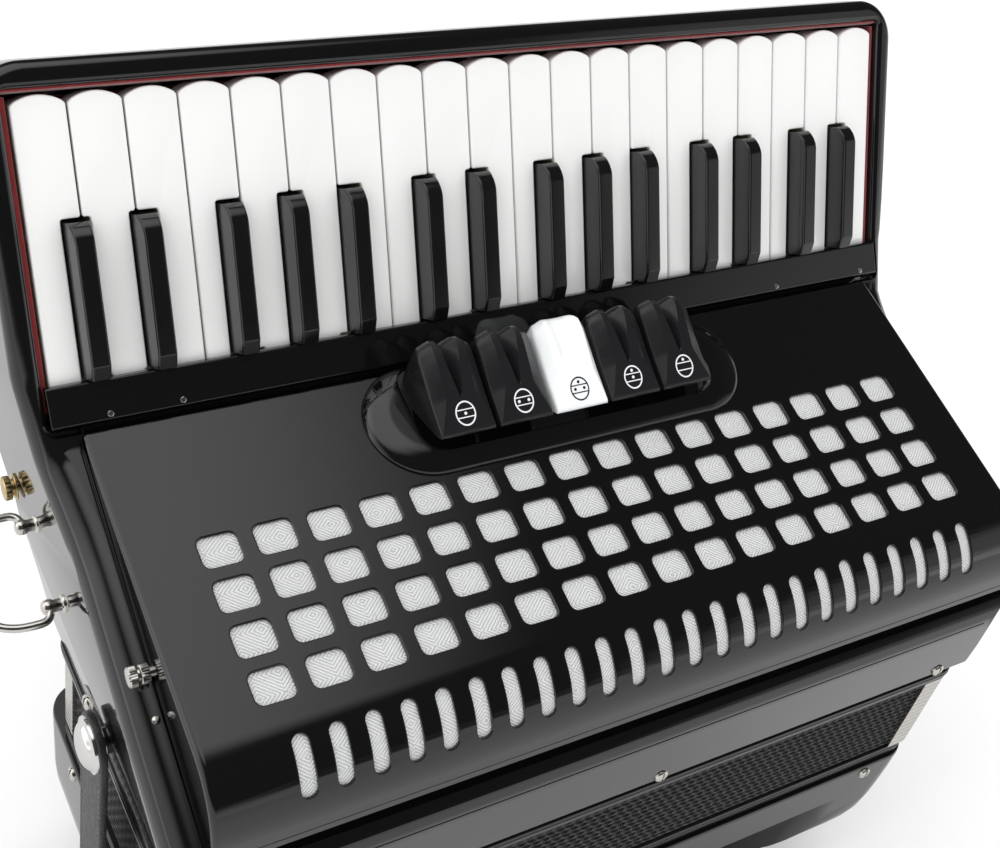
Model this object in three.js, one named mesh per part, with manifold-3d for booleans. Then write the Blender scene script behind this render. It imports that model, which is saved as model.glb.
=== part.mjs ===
// Piano accordion, standing on the feet of its bass side.
// Millimetres, +Z up. X runs along the keyboard (+X is the low, chin end), -Y is the front (grille and
// bass buttons), +Y the back that rests against the player. The origin is the middle of the footprint,
// on the ground plane. Pieces are drawn from the keyboard datum line, which the two groups place.
import * as THREE from "three";
import { mergeVertices } from "three/addons/utils/BufferGeometryUtils.js";
import Module from "manifold-3d";

const wasm = await Module();
wasm.setup();

const { degToRad, radToDeg } = THREE.MathUtils;

// ---------------------------------------------------------------- shared dimensions
const DATUM_Y = 45; // keyboard datum line, back from the middle of the footprint
const DATUM_Z = 297; // keyboard datum line, above the ground
const GAP = 0.35; // working gap between separate pieces

// treble casing
const CASE_HALF = 200;
const CASE_FRONT = -160;
const CASE_BOTTOM = -138;
const RECESS_HALF = 197.6; // half the length of the recess under the keys
const TOP_FRONT = [-152, -80]; // y, z of the sloping top of the end boards
const TOP_BACK = [-17, -17];

// bass casing
const BASS_HALF = 192;
const BASS_TOP = -202;
const BASS_BOTTOM = -285;
const BASS_FRONT = -157;
const BASS_BACK = 24;

// ---------------------------------------------------------------- materials
const LOOKS = {
  lacquer: { color: 0x0b0b0c, roughness: 0.08, metalness: 0 },
  satin: { color: 0x141415, roughness: 0.35, metalness: 0 },
  ivory: { color: 0xf2f1ee, roughness: 0.12, metalness: 0 },
  ebony: { color: 0x0d0d0e, roughness: 0.15, metalness: 0 },
  nickel: { color: 0xc9c7c2, roughness: 0.18, metalness: 1 },
  leather: { color: 0x151412, roughness: 0.6, metalness: 0 },
  wood: { color: 0xc9a878, roughness: 0.55, metalness: 0 },
  clothBlack: { color: 0x1c1c1f, roughness: 0.8, metalness: 0 },
  clothSilver: { color: 0xbfc0c0, roughness: 0.55, metalness: 0.3 },
  cream: { color: 0xe9e5da, roughness: 0.25, metalness: 0 },
};

// ---------------------------------------------------------------- frames
const vector = (x, y, z) => new THREE.Vector3(x, y, z);
const X_AXIS = vector(1, 0, 0);
const Y_AXIS = vector(0, 1, 0);
const Z_AXIS = vector(0, 0, 1);

// columns are the images of a shape's x, its y and the extrusion direction
const basis = (a, b, c, origin = vector(0, 0, 0)) =>
  new THREE.Matrix4().makeBasis(a, b, c).setPosition(origin);
const TO_YZ = basis(Y_AXIS, Z_AXIS, X_AXIS);
const TO_XZ = basis(Z_AXIS, X_AXIS, Y_AXIS);

// Frame turned about X: s runs along the given y, z direction, n a quarter turn on from it.
function tiltedFrame([directionY, directionZ], [originY, originZ] = [0, 0]) {
  const along = vector(0, directionY, directionZ).normalize();
  const out = vector(0, -along.z, along.y);
  const origin = vector(0, originY, originZ);
  return {
    plan: basis(X_AXIS, along, out, origin), // drawn in x, s and pushed along n
    section: basis(along, out, X_AXIS, origin), // drawn in s, n and pushed along x
    cross: basis(X_AXIS, out, along.clone().negate(), origin), // drawn in x, n, pushed against s
    at: (s, n) => [originY + along.y * s + out.y * n, originZ + along.z * s + out.z * n],
  };
}
const leaningBack = (tilt) => [Math.sin(tilt), Math.cos(tilt)];

// keyboard: s up the keys, n out of the key surface
const KEYS = tiltedFrame(leaningBack(degToRad(26.76)));

// grille cover: s up the cover from the first row of windows, n out of the cover
const COVER_TILT = degToRad(74.69);
const FIRST_WINDOWS = [-70.3, -25.9]; // y, z
const GRILLE = tiltedFrame(leaningBack(COVER_TILT), FIRST_WINDOWS);

// button board: s up the board from its middle, n back and up into the casing is negative
const BOARD_LOW = [-96, -285];
const BOARD_HIGH = [-150, -229];
const BOARD_RUN = [BOARD_HIGH[0] - BOARD_LOW[0], BOARD_HIGH[1] - BOARD_LOW[1]];
const BOARD = tiltedFrame(BOARD_RUN, [
  (BOARD_LOW[0] + BOARD_HIGH[0]) / 2,
  (BOARD_LOW[1] + BOARD_HIGH[1]) / 2,
]);

// ---------------------------------------------------------------- shape helpers
function solid(geometry) {
  geometry.deleteAttribute("normal");
  geometry.deleteAttribute("uv");
  const merged = mergeVertices(geometry, 1e-4);
  return new wasm.Manifold(
    new wasm.Mesh({
      numProp: 3,
      vertProperties: new Float32Array(merged.attributes.position.array),
      triVerts: new Uint32Array(merged.index.array),
    }),
  );
}

function geometryOf(manifold) {
  const mesh = manifold.getMesh();
  return new THREE.BufferGeometry()
    .setAttribute("position", new THREE.BufferAttribute(new Float32Array(mesh.vertProperties), 3))
    .setIndex(new THREE.BufferAttribute(new Uint32Array(mesh.triVerts), 1));
}

const union = (list) => list.reduce((a, b) => a.add(b));
const cut = (body, tools) => tools.reduce((a, b) => a.subtract(b), body);

// a polygon drawn in one plane and pushed from low to high across it
function extrusion(points, low, high, matrix) {
  const shape = new THREE.Shape(points.map(([a, b]) => new THREE.Vector2(a, b)));
  const options = { depth: high - low, bevelEnabled: false, steps: 1 };
  const geometry = new THREE.ExtrudeGeometry(shape, options).translate(0, 0, low);
  return matrix ? geometry.applyMatrix4(matrix) : geometry;
}
const prism = (points, low, high, matrix) => solid(extrusion(points, low, high, matrix));
const prismX = (points, low, high) => prism(points, low, high, TO_YZ); // points in y, z
const prismY = (points, low, high) =>
  prism(points.map(([x, z]) => [z, x]), low, high, TO_XZ); // points in x, z

const box = (x0, x1, y0, y1, z0, z1, matrix) =>
  prism([[x0, y0], [x1, y0], [x1, y1], [x0, y1]], z0, z1, matrix);
const boxAt = (x, y, halfX, halfY, z0, z1, matrix) =>
  box(x - halfX, x + halfX, y - halfY, y + halfY, z0, z1, matrix);

// points of a circular arc, angles in degrees
function arc(x, y, radius, from, to, steps) {
  return Array.from({ length: steps + 1 }, (_, i) => {
    const angle = degToRad(from + ((to - from) * i) / steps);
    return [x + radius * Math.cos(angle), y + radius * Math.sin(angle)];
  });
}

function roundRect(x0, x1, y0, y1, radius, steps) {
  return [
    ...arc(x1 - radius, y0 + radius, radius, -90, 0, steps),
    ...arc(x1 - radius, y1 - radius, radius, 0, 90, steps),
    ...arc(x0 + radius, y1 - radius, radius, 90, 180, steps),
    ...arc(x0 + radius, y0 + radius, radius, 180, 270, steps),
  ];
}

// many-sided rod along the third direction of a frame
const rod = (x, y, radius, low, high, sides, matrix) =>
  prism(arc(x, y, radius, 0, 360 - 360 / sides, sides - 1), low, high, matrix);
const rodX = (y, z, radius, low, high, sides) => rod(y, z, radius, low, high, sides, TO_YZ);

// x range from near to far, counted outwards on the -X (side -1) or +X (side 1) end
const outwards = (side, near, far) => (side > 0 ? [near, far] : [-far, -near]);

// round wire bent into a closed ring
function wireRing(points, radius, sides) {
  const curve = new THREE.CatmullRomCurve3(points, true, "catmullrom", 0.35);
  const count = points.length * 2;
  const frames = curve.computeFrenetFrames(count, true);
  const position = [];
  const index = [];
  for (let i = 0; i < count; i++) {
    const centre = curve.getPointAt(i / count);
    const next = (i + 1) % count;
    for (let j = 0; j < sides; j++) {
      const angle = (2 * Math.PI * j) / sides;
      const point = centre
        .clone()
        .addScaledVector(frames.normals[i], radius * Math.cos(angle))
        .addScaledVector(frames.binormals[i], radius * Math.sin(angle));
      position.push(point.x, point.y, point.z);
      const turned = (j + 1) % sides;
      const a = i * sides + j;
      const b = i * sides + turned;
      const c = next * sides + j;
      const d = next * sides + turned;
      index.push(a, b, d, a, d, c);
    }
  }
  const geometry = new THREE.BufferGeometry();
  geometry.setAttribute("position", new THREE.Float32BufferAttribute(position, 3));
  geometry.setIndex(index);
  return solid(geometry);
}

// ---------------------------------------------------------------- keys
const WHITE_KEYS = 20;
const KEY_PITCH = 19.5;
const KEY_GAP = 0.8;
const WHITE_LENGTH = 100; // visible length
const WHITE_THICK = 12;
const WHITE_BACK = -3;
const WHITE_CORNER = WHITE_LENGTH - 3.2; // where the rounded tip starts
const WHITE_TIP_RADIUS = 16;
const BLACK_TIP = 56.5; // where a black key ends
const BLACK_HEIGHT = 9.5;
const BLACK_HALF = 4.7; // half the width of a black key at its foot
const BLACK_TOP_HALF = 3.5; // half its width just above the top
const NOTCH_HALF = 5.3; // half the width of the notch in the white keys round a black key
const NOTCH_END = BLACK_TIP + 1;
const ROOT_NOTCH_HALF = 3.6; // least half width at the back, where the black key's root passes
const ROOT_NOTCH_END = 2.6;

// Gaps between white keys are numbered from the -X end. Black keys repeat every seven gaps:
// place in the octave -> how far the black key sits to the side of its gap
const BLACK_SHIFTS = { 1: -2.2, 2: 2.5, 4: -4.5, 5: 0, 6: 4.7 };
const BLACK_KEYS = new Map(); // gap -> shift
for (let gap = 1; gap < WHITE_KEYS; gap++) {
  if (gap % 7 in BLACK_SHIFTS) BLACK_KEYS.set(gap, BLACK_SHIFTS[gap % 7]);
}
const gapX = (gap) => (gap - WHITE_KEYS / 2) * KEY_PITCH;
const whiteX = (number) => gapX(number - 0.5);

// key action: axle under the keyboard plane, levers, pallets over the soundboard openings
const AXLE_S = -18;
const AXLE_N = -8;
const AXLE_R = 1.5;
const AXLE = KEYS.at(AXLE_S, AXLE_N);
const HUB_R = 4.8;
const LEVER_CRANK = 0.045; // share of its distance from the middle that a lever leans in...
const LEVER_RUN = 115; // ...over this distance forward of the axle
const LEVER_WIDTH = 3;
const SOUNDBOARD_TOP = -95;
const PALLET_Z = SOUNDBOARD_TOP + GAP;
const PALLET_TOP = PALLET_Z + 6;
const WHITE_ACTION = {
  rootHalf: 4, rootEnd: 0, rootLow: AXLE_N - 3.5, rootTop: -3,
  palletY: -115, palletHalf: 7, openingHalf: 5,
};
const BLACK_ACTION = {
  rootHalf: 3, rootEnd: 2, rootLow: AXLE_N - 3, rootTop: -3.5,
  palletY: -75, palletHalf: 6, openingHalf: 4,
};

const crankedX = (x, y) => x * (1 + (LEVER_CRANK * (y - AXLE[0])) / LEVER_RUN);

// flat bar from the hub down and forward to the pallet, leaning towards the middle
function lever(x, endY) {
  const profile = [
    [AXLE[0] + 3, AXLE[1] - 3],
    [AXLE[0] + 2, AXLE[1] + 3],
    [AXLE[0] - 6, AXLE[1] + 1],
    [endY - 4, PALLET_TOP + 7],
    [endY - 4, PALLET_TOP - 0.5],
    [endY + 6, PALLET_TOP - 0.5],
  ];
  const geometry = extrusion(profile, -LEVER_WIDTH / 2, LEVER_WIDTH / 2, TO_YZ);
  const position = geometry.attributes.position;
  for (let i = 0; i < position.count; i++) {
    position.setX(i, position.getX(i) + crankedX(x, position.getY(i)));
  }
  return solid(geometry);
}

// joins a key's body to its root, hub, lever and pallet, and bores it for the axle
function withAction(body, x, action) {
  const { rootHalf, rootEnd, rootLow, rootTop, palletY, palletHalf } = action;
  const left = x - rootHalf;
  const right = x + rootHalf;
  return union([
    body,
    box(left, right, AXLE_S - 1, rootEnd, rootLow, rootTop, KEYS.plan),
    rodX(...AXLE, HUB_R, left, right, 6),
    lever(x, palletY),
    boxAt(crankedX(x, palletY), palletY, palletHalf, 15, PALLET_Z, PALLET_TOP),
  ]).subtract(rodX(...AXLE, AXLE_R + GAP, left - 1, right + 1, 6));
}

// x, s down one side of a white key from its back to its tip corner, notched for a black key
function whiteEdge(gap, side) {
  const line = gapX(gap);
  const full = line - (side * KEY_GAP) / 2;
  const front = [[full, NOTCH_END], [full, WHITE_CORNER]];
  if (!BLACK_KEYS.has(gap)) return [[full, WHITE_BACK], ...front];
  const notch = line + BLACK_KEYS.get(gap) - side * NOTCH_HALF;
  const back = side * Math.min(side * notch, side * line - ROOT_NOTCH_HALF);
  const step = back === notch ? [] : [[back, ROOT_NOTCH_END], [notch, ROOT_NOTCH_END]];
  return [[back, WHITE_BACK], ...step, [notch, NOTCH_END], ...front];
}

function whiteKey(number) {
  const x = whiteX(number);
  const plan = [
    ...whiteEdge(number, 1),
    ...arc(x, WHITE_LENGTH - WHITE_TIP_RADIUS, WHITE_TIP_RADIUS, 72.5, 107.5, 2),
    ...whiteEdge(number - 1, -1).reverse(),
  ];
  return withAction(prism(plan, -WHITE_THICK, 0, KEYS.plan), x, WHITE_ACTION);
}

function blackKey(gap, shift) {
  const x = gapX(gap) + shift;
  const left = x - BLACK_HALF;
  const right = x + BLACK_HALF;
  const profile = [
    [0.5, -11],
    [BLACK_TIP, -11],
    [BLACK_TIP, 3.5],
    [BLACK_TIP - 5.5, BLACK_HEIGHT],
    [6, BLACK_HEIGHT],
    [0.5, 7.5],
  ];
  // sides lean in towards the top
  const taper = [
    [left, -12],
    [right, -12],
    [right, 0.5],
    [x + BLACK_TOP_HALF, BLACK_HEIGHT + 1],
    [x - BLACK_TOP_HALF, BLACK_HEIGHT + 1],
    [left, 0.5],
  ];
  const body = prism(profile, left, right, KEYS.section).intersect(
    prism(taper, -BLACK_TIP - 5, 10, KEYS.cross),
  );
  return withAction(body, gapX(gap), BLACK_ACTION);
}

const keyAxle = () => rodX(...AXLE, AXLE_R, -CASE_HALF, CASE_HALF, 8);

// ---------------------------------------------------------------- shoulder strap eyes and rings
const EYE_X = 205.5;
const EYES = [[1, -69], [-34, -77]]; // y, z
// n runs from the first eye to the second
const EYE_LINE = tiltedFrame([EYES[1][1] - EYES[0][1], EYES[0][0] - EYES[1][0]], EYES[0]);
// distance out from the eyes, distance along their line
const RING_PATH = [
  [0, -5], [0, 6], [0, 18], [0, 30], [0, 41],
  [8, 43], [20, 38], [24, 18], [20, -2], [8, -7],
];

const eyeBlocks = (side) =>
  EYES.map(([y, z]) =>
    box(...outwards(side, CASE_HALF - 0.5, EYE_X + 3.6), y - 2.5, y + 2.5, z - 4, z + 4),
  );
const eyeBore = (side) => rod(side * EYE_X, 0, 2.1, -12, 48, 8, EYE_LINE.plan);

function strapRing(side) {
  const points = RING_PATH.map(([out, along]) =>
    vector(side * (EYE_X + out), ...EYE_LINE.at(0, along)),
  );
  return wireRing(points, 1.6, 5);
}

// ---------------------------------------------------------------- treble casing
const WING_HALF = 207; // the casing widens to this behind the keyboard
const CASE_RADIUS = 18; // corners of the casing and of its wing
const RIM_INNER = 102.5;
const RIM_OUTER = 111;
const END_INNER = 186; // inner faces of the end boards

// y, z: front wall, casing foot, back, keyboard wing, sloping top of the end boards, stepped rim
const CASE_OUTLINE = [
  [CASE_FRONT, CASE_BOTTOM], [10, CASE_BOTTOM],
  [12, -112], [20, -94], [36, -80], [50, -66], [58, -46], [65, 0], [70, 80], [68.5, 90],
  KEYS.at(RIM_OUTER, -17),
  KEYS.at(RIM_OUTER + 0.6, -4),
  KEYS.at(RIM_OUTER - 1.5, 1),
  KEYS.at(RIM_OUTER - 4, 2.4),
  KEYS.at(0, 2.4),
  TOP_BACK, TOP_FRONT,
  [-152, -96], [-155, -96], [-158.6, -98.6], [CASE_FRONT, -103],
];
// y, z of the hollow over the soundboard
const ACTION_CHAMBER = [
  [-146, -101.5], [-1, -101.5], [-1, -40], [-12, 10], [-146, 10],
];
// y, z of the hollow under the soundboard and of the wing behind it
const AIR_CHAMBER = [
  [-146, -150], [2, -150],
  [4, -112], [14, -92], [32, -77], [46, -62], [53, -45], [60, 0], [61, 56],
  KEYS.at(74, -23.5),
  KEYS.at(-34, -23.5),
  [4.6, -101.5], [4.6, -108], [-146, -108],
];

// outline of the casing seen square to the keyboard: x, s
function casingFromKeys() {
  const cornerX = WING_HALF - CASE_RADIUS;
  const cornerS = RIM_OUTER - 17.4;
  return [
    [-CASE_HALF, -260],
    [CASE_HALF, -260],
    [CASE_HALF, -60],
    [WING_HALF, 5],
    ...arc(cornerX, cornerS, CASE_RADIUS, 0, 90, 4),
    ...arc(-cornerX, cornerS, CASE_RADIUS, 90, 180, 4),
    [-WING_HALF, 5],
    [-CASE_HALF, -60],
  ];
}

// outline of the casing seen from above: x, y
function casingFromAbove() {
  const cornerX = CASE_HALF - CASE_RADIUS;
  const cornerY = CASE_FRONT + CASE_RADIUS;
  const wing = WING_HALF + 2;
  return [
    ...arc(-cornerX, cornerY, CASE_RADIUS, 180, 270, 4),
    ...arc(cornerX, cornerY, CASE_RADIUS, 270, 360, 4),
    [CASE_HALF, -30],
    [wing, 0],
    [wing, 90],
    [-wing, 90],
    [-wing, 0],
    [-CASE_HALF, -30],
  ];
}

function trebleCasing() {
  const block = prismX(CASE_OUTLINE, -WING_HALF - 1, WING_HALF + 1)
    .intersect(prism(casingFromKeys(), -200, 200, KEYS.plan))
    .intersect(prism(casingFromAbove(), -200, 200));
  const axleHoleEnd = CASE_HALF + 0.6;
  const shell = cut(block, [
    box(-RECESS_HALF, RECESS_HALF, -38, RIM_INNER, -19, 60, KEYS.plan), // recess under the keys
    prismX(ACTION_CHAMBER, -END_INNER, END_INNER),
    prismX(AIR_CHAMBER, -END_INNER, END_INNER),
    box(-178, 178, -138, -8, -120, -90), // leaves a ledge all round for the soundboard
    rodX(...AXLE, AXLE_R + 0.4, -axleHoleEnd, axleHoleEnd, 8),
  ]);
  return cut(union([shell, ...eyeBlocks(-1), ...eyeBlocks(1)]), [eyeBore(-1), eyeBore(1)]);
}

// ---------------------------------------------------------------- grille cover and its cloth
const COVER_HALF = 188;
const COVER_SKIN = 2.5;
const COVER_FRONT = -156;
const COVER_RADIUS = 30; // bend between the sloping top and the front
const COVER_FOOT = -81;
const WINDOW_COLS = 16;
const WINDOW_ROWS = 4;
const WINDOW_PITCH_X = 20.8;
const WINDOW_PITCH_S = 17.58;
const WINDOW_W = 14.8;
const WINDOW_H = 12.2;
const SLOTS = 24;
const SLOT_PITCH = 13.37;
const SLOT_W = 6;
const SLOT_PROFILE = [
  [-139, -40], [-139, -52], [-150, -52], [-150, -61.5], [-162, -61.5], [-162, -40],
]; // y, z

// the bend touches both the sloping top and the front
const BEND_CENTRE = GRILLE.at(
  (COVER_FRONT + COVER_RADIUS * (1 - Math.cos(COVER_TILT)) - FIRST_WINDOWS[0]) /
    Math.sin(COVER_TILT),
  -COVER_RADIUS,
);

// bend of the cover at a depth under its outer face, from the top round to the front
const bendArc = (depth) =>
  arc(...BEND_CENTRE, COVER_RADIUS - depth, 180 - radToDeg(COVER_TILT), 180, 5);

// lower edge of the cover's ends, just clear of the sloping end boards
function endBoardClearance(y) {
  const slope = (TOP_BACK[1] - TOP_FRONT[1]) / (TOP_BACK[0] - TOP_FRONT[0]);
  return [y, TOP_FRONT[1] + slope * (y - TOP_FRONT[0]) + GAP + 0.1];
}

function coverOpenings() {
  const openings = [];
  for (let row = 0; row < WINDOW_ROWS; row++) {
    for (let col = 0; col < WINDOW_COLS; col++) {
      const x = (col - (WINDOW_COLS - 1) / 2) * WINDOW_PITCH_X;
      const s = -row * WINDOW_PITCH_S;
      openings.push(boxAt(x, s, WINDOW_W / 2, WINDOW_H / 2, -6, 3, GRILLE.plan));
    }
  }
  for (let i = 0; i < SLOTS; i++) {
    const x = (i - (SLOTS - 1) / 2) * SLOT_PITCH;
    openings.push(prismX(SLOT_PROFILE, x - SLOT_W / 2, x + SLOT_W / 2));
  }
  return openings;
}

// raised ring round the registers
function registerBezel() {
  const outer = [...arc(64, 33, 25, -90, 78, 8), ...arc(-64, 33, 25, 102, 270, 8)];
  const inner = roundRect(-66.6, 66.6, 18.2, 57.2, 4, 3);
  return prism(outer, -1, 5, GRILLE.plan).subtract(prism(inner, 0, 9, GRILLE.plan));
}

function grilleCover() {
  const innerFront = COVER_FRONT + COVER_SKIN;
  const innerHalf = COVER_HALF - COVER_SKIN;
  const outside = [
    GRILLE.at(59, 0),
    ...bendArc(0),
    [COVER_FRONT, COVER_FOOT],
    [innerFront, COVER_FOOT],
    endBoardClearance(innerFront),
    endBoardClearance(-16.8),
  ];
  const inside = [
    GRILLE.at(75, -COVER_SKIN),
    ...bendArc(COVER_SKIN),
    [innerFront, -100],
    [20, -100],
  ];
  const shell = prismX(outside, -COVER_HALF, COVER_HALF);
  const hollow = prismX(inside, -innerHalf, innerHalf);
  return cut(shell, [hollow, ...coverOpenings()]).add(registerBezel());
}

function grilleCloth() {
  const outer = COVER_SKIN + GAP; // depths under the cover's outer face
  const inner = outer + 1;
  const half = COVER_HALF - COVER_SKIN - 0.6;
  const section = [
    GRILLE.at(14, -outer),
    ...bendArc(outer),
    [COVER_FRONT + outer, -76],
    [COVER_FRONT + inner, -76],
    ...bendArc(inner).reverse(),
    GRILLE.at(14, -inner),
  ];
  return prismX(section, -half, half);
}

// strip that covers the hinge end of the keys
function fallboard() {
  const profile = [[-1, 0.7], [-1, 4], [-14.7, 6.9], [-14.7, 4.4], [-6, 0.7]]; // s, n
  return prism(profile, -RECESS_HALF + GAP, RECESS_HALF - GAP, KEYS.section);
}

// ---------------------------------------------------------------- register tabs
const TABS = 5;
const MIDDLE_TAB = (TABS - 1) / 2;
const TAB_PITCH = 26.1;
const TAB_W = 24;
const TAB_PROFILE = [
  [17.2, 10], [26, 6], [39, 0.5], [55.8, 0.5], [56, 17],
  [53.5, 23], [49.5, 25.5], [44, 24.5], [30, 18.8], [17.2, 12.6],
]; // s, n

function registerTab(i) {
  const x = (i - MIDDLE_TAB) * TAB_PITCH;
  const tab = prism(TAB_PROFILE, x - TAB_W / 2, x + TAB_W / 2, GRILLE.section);
  if (i === MIDDLE_TAB) return tab;
  // shallow V along the upper face
  return tab.subtract(prism([[x - 7, 32], [x, 19], [x + 7, 32]], -70, -31, GRILLE.cross));
}

// ---------------------------------------------------------------- inside the casings
function trebleSoundboard() {
  const opening = (x, { palletY, openingHalf }) =>
    boxAt(crankedX(x, palletY), palletY, openingHalf, 12, -105, -90);
  const openings = [];
  for (let i = 1; i <= WHITE_KEYS; i++) openings.push(opening(whiteX(i), WHITE_ACTION));
  for (const gap of BLACK_KEYS.keys()) openings.push(opening(gapX(gap), BLACK_ACTION));
  return cut(box(-183, 183, -145.5, -1.4, -101, SOUNDBOARD_TOP), openings);
}

// top plate and spine, with cross walls that part the reed chambers
function reedBlock({ half, front, back, foot, top, walls }) {
  const middle = (front + back) / 2;
  const wall = [
    [front + 2, top - 1],
    [front + 10, foot],
    [back - 10, foot],
    [back - 2, top - 1],
  ];
  const parts = [
    box(-half, half, front, back, top - 3, top),
    box(-half, half, middle - 4, middle + 4, foot, top - 1),
  ];
  for (let i = 0; i < walls; i++) {
    const x = -half + 2 + ((2 * half - 4) * i) / (walls - 1);
    parts.push(prismX(wall, x - 2, x + 2));
  }
  return union(parts);
}
const TREBLE_REEDS = { half: 172, front: -132, back: -58, foot: -137, top: -101.4, walls: 12 };
const BASS_REEDS = { half: 120, front: -112, back: -38, foot: -250, top: -206, walls: 9 };

// ---------------------------------------------------------------- bellows and its two frames
const TREBLE_FRAME_FOOT = -144;
const BASS_FRAME_TOP = -195;
const TREBLE_FRAME = {
  half: 192, front: -156, back: 7, wall: 10, radius: 12,
  foot: TREBLE_FRAME_FOOT, top: CASE_BOTTOM - GAP,
};
const BELLOWS = {
  half: 188, front: -154, back: 5, wall: 12, radius: 8,
  foot: BASS_FRAME_TOP + GAP, top: TREBLE_FRAME_FOOT - GAP,
};
const BASS_FRAME = {
  half: 190, front: -155, back: 7, wall: 10, radius: 12,
  foot: BASS_TOP + GAP, top: BASS_FRAME_TOP,
};

function hollowFrame({ half, front, back, wall, radius, foot, top }) {
  const outer = roundRect(-half, half, front, back, radius, 3);
  const inner = roundRect(-half + wall, half - wall, front + wall, back - wall, 2, 1);
  return prism(outer, foot, top).subtract(prism(inner, foot - 1, top + 1));
}

// ---------------------------------------------------------------- bass casing
const FLOOR_BEND = [-70, BASS_BOTTOM]; // y, z where the floor starts to rise
const FLOOR_BACK = [BASS_BACK, -268];
const BASS_OUTLINE = [
  [BASS_BACK, BASS_TOP],
  [BASS_FRONT, BASS_TOP],
  ...arc(BASS_FRONT + 45, BASS_BOTTOM + 45, 45, 180, 270, 6),
  FLOOR_BEND,
  FLOOR_BACK,
]; // y, z
const BASS_CHAMBER = [
  [-149, -190], [-149, -219], [-142, -226], [-88, -279], [-70, -279],
  [17, -263], [17, -210], [0, -210], [0, -190],
]; // y, z
const BOARD_RECESS_HALF = 107;

function bassCasing() {
  const endRadius = 48;
  const cornerX = BASS_HALF - endRadius;
  const cornerZ = BASS_BOTTOM + endRadius;
  const plan = roundRect(-BASS_HALF, BASS_HALF, BASS_FRONT, BASS_BACK, 16, 4);
  const frontView = [
    [-BASS_HALF, -190],
    ...arc(-cornerX, cornerZ, endRadius, 180, 270, 6),
    ...arc(cornerX, cornerZ, endRadius, 270, 360, 6),
    [BASS_HALF, -190],
  ]; // x, z
  const block = prismX(BASS_OUTLINE, -BASS_HALF - 1, BASS_HALF + 1)
    .intersect(prism(plan, -400, 0))
    .intersect(prismY(frontView, -300, 300));
  const recessTop = BOARD.at(42, -1);
  const recess = [[-170, recessTop[1]], recessTop, BOARD.at(-50, -1), [-170, -320]];
  return cut(block, [
    prismX(BASS_CHAMBER, -150, 150), // open to the bellows
    box(-182, 182, -149, 0, -230, -190), // wider upper part of the chamber
    prismX(recess, -BOARD_RECESS_HALF, BOARD_RECESS_HALF),
    box(-102, 102, -33, 33, -20, 20, BOARD.plan), // window behind the button board
    box(-126, 126, -84, 8, -292, -255), // opening in the floor, closed by the cover
  ]);
}

// ---------------------------------------------------------------- button board and buttons
const BUTTON_COLS = 12;
const BUTTON_ROWS = 5;
const BUTTON_PITCH_X = 16;
const BUTTON_PITCH_S = 13.4;
const BUTTON_STAGGER = 3.4; // sideways step from row to row

const BUTTONS = []; // x, s
for (let row = 0; row < BUTTON_ROWS; row++) {
  for (let col = 0; col < BUTTON_COLS; col++) {
    const fromMiddle = row - (BUTTON_ROWS - 1) / 2;
    const x = (col - (BUTTON_COLS - 1) / 2) * BUTTON_PITCH_X + fromMiddle * BUTTON_STAGGER;
    BUTTONS.push([x, fromMiddle * BUTTON_PITCH_S]);
  }
}

function buttonBoard() {
  const halfX = BOARD_RECESS_HALF - GAP;
  const halfLength = Math.hypot(...BOARD_RUN) / 2;
  const board = box(-halfX, halfX, -halfLength + 1.5, halfLength - 2, -0.6, 2.4, BOARD.plan);
  return cut(board, BUTTONS.map(([x, s]) => rod(x, s, 5.4, -3, 5, 4, BOARD.plan)));
}

// all the buttons, joined by a plate behind the board
const bassButtons = () =>
  union([
    box(-97, 97, -30, 30, -8.5, -6.5, BOARD.plan),
    ...BUTTONS.map(([x, s]) => rod(x, s, 4.6, -7, 8, 4, BOARD.plan)),
  ]);

// ---------------------------------------------------------------- cover under the bass casing
const COVER_PLATE_HALF = 143;
const COVER_PLATE_GAP = 0.4;
const COVER_PLATE_THICK = 2.6;
const COVER_PLATE_Y = [-90, 20];
const FOOT_Z = -DATUM_Z;
const AIR_BUTTON = [104, -76]; // x, y

function plateTop(y) {
  const slope = (FLOOR_BACK[1] - FLOOR_BEND[1]) / (FLOOR_BACK[0] - FLOOR_BEND[0]);
  return BASS_BOTTOM + slope * Math.max(0, y - FLOOR_BEND[0]) - COVER_PLATE_GAP;
}
const plateUnderside = (y) => plateTop(y) - COVER_PLATE_THICK;

// plate with four feet and a hole for the air button
function bassCover() {
  const [front, back] = COVER_PLATE_Y;
  const bend = FLOOR_BEND[0];
  const section = [
    ...[front, front].map((y, i) => [y, i ? plateUnderside(y) : plateTop(y)]),
    [bend, plateUnderside(bend)],
    [back, plateUnderside(back)],
    [back, plateTop(back)],
    [bend, plateTop(bend)],
  ];
  const parts = [prismX(section, -COVER_PLATE_HALF, COVER_PLATE_HALF)];
  for (const x of [-131, 131]) {
    for (const y of [-80, 11]) parts.push(rod(x, y, 8.5, FOOT_Z, plateTop(y - 8) - 1.2, 12));
  }
  return union(parts).subtract(rod(...AIR_BUTTON, 6.4, -295, -270, 10));
}

const airButton = () =>
  union([rod(...AIR_BUTTON, 5.6, -293, -276, 10), rod(...AIR_BUTTON, 8.2, -277, -273, 10)]);

// hand strap along the cover, with a block at each end that reaches up to it
function handStrap() {
  const half = 120;
  const endBlock = [
    [-52, -291],
    [-10, -291],
    [-10, plateUnderside(-10) - GAP],
    [-52, plateUnderside(-52) - GAP],
  ];
  return union([
    box(-half, half, -56, -6, -292, -288.2),
    ...[-1, 1].map((side) => prismX(endBlock, ...outwards(side, half - 12, half))),
  ]);
}

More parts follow.
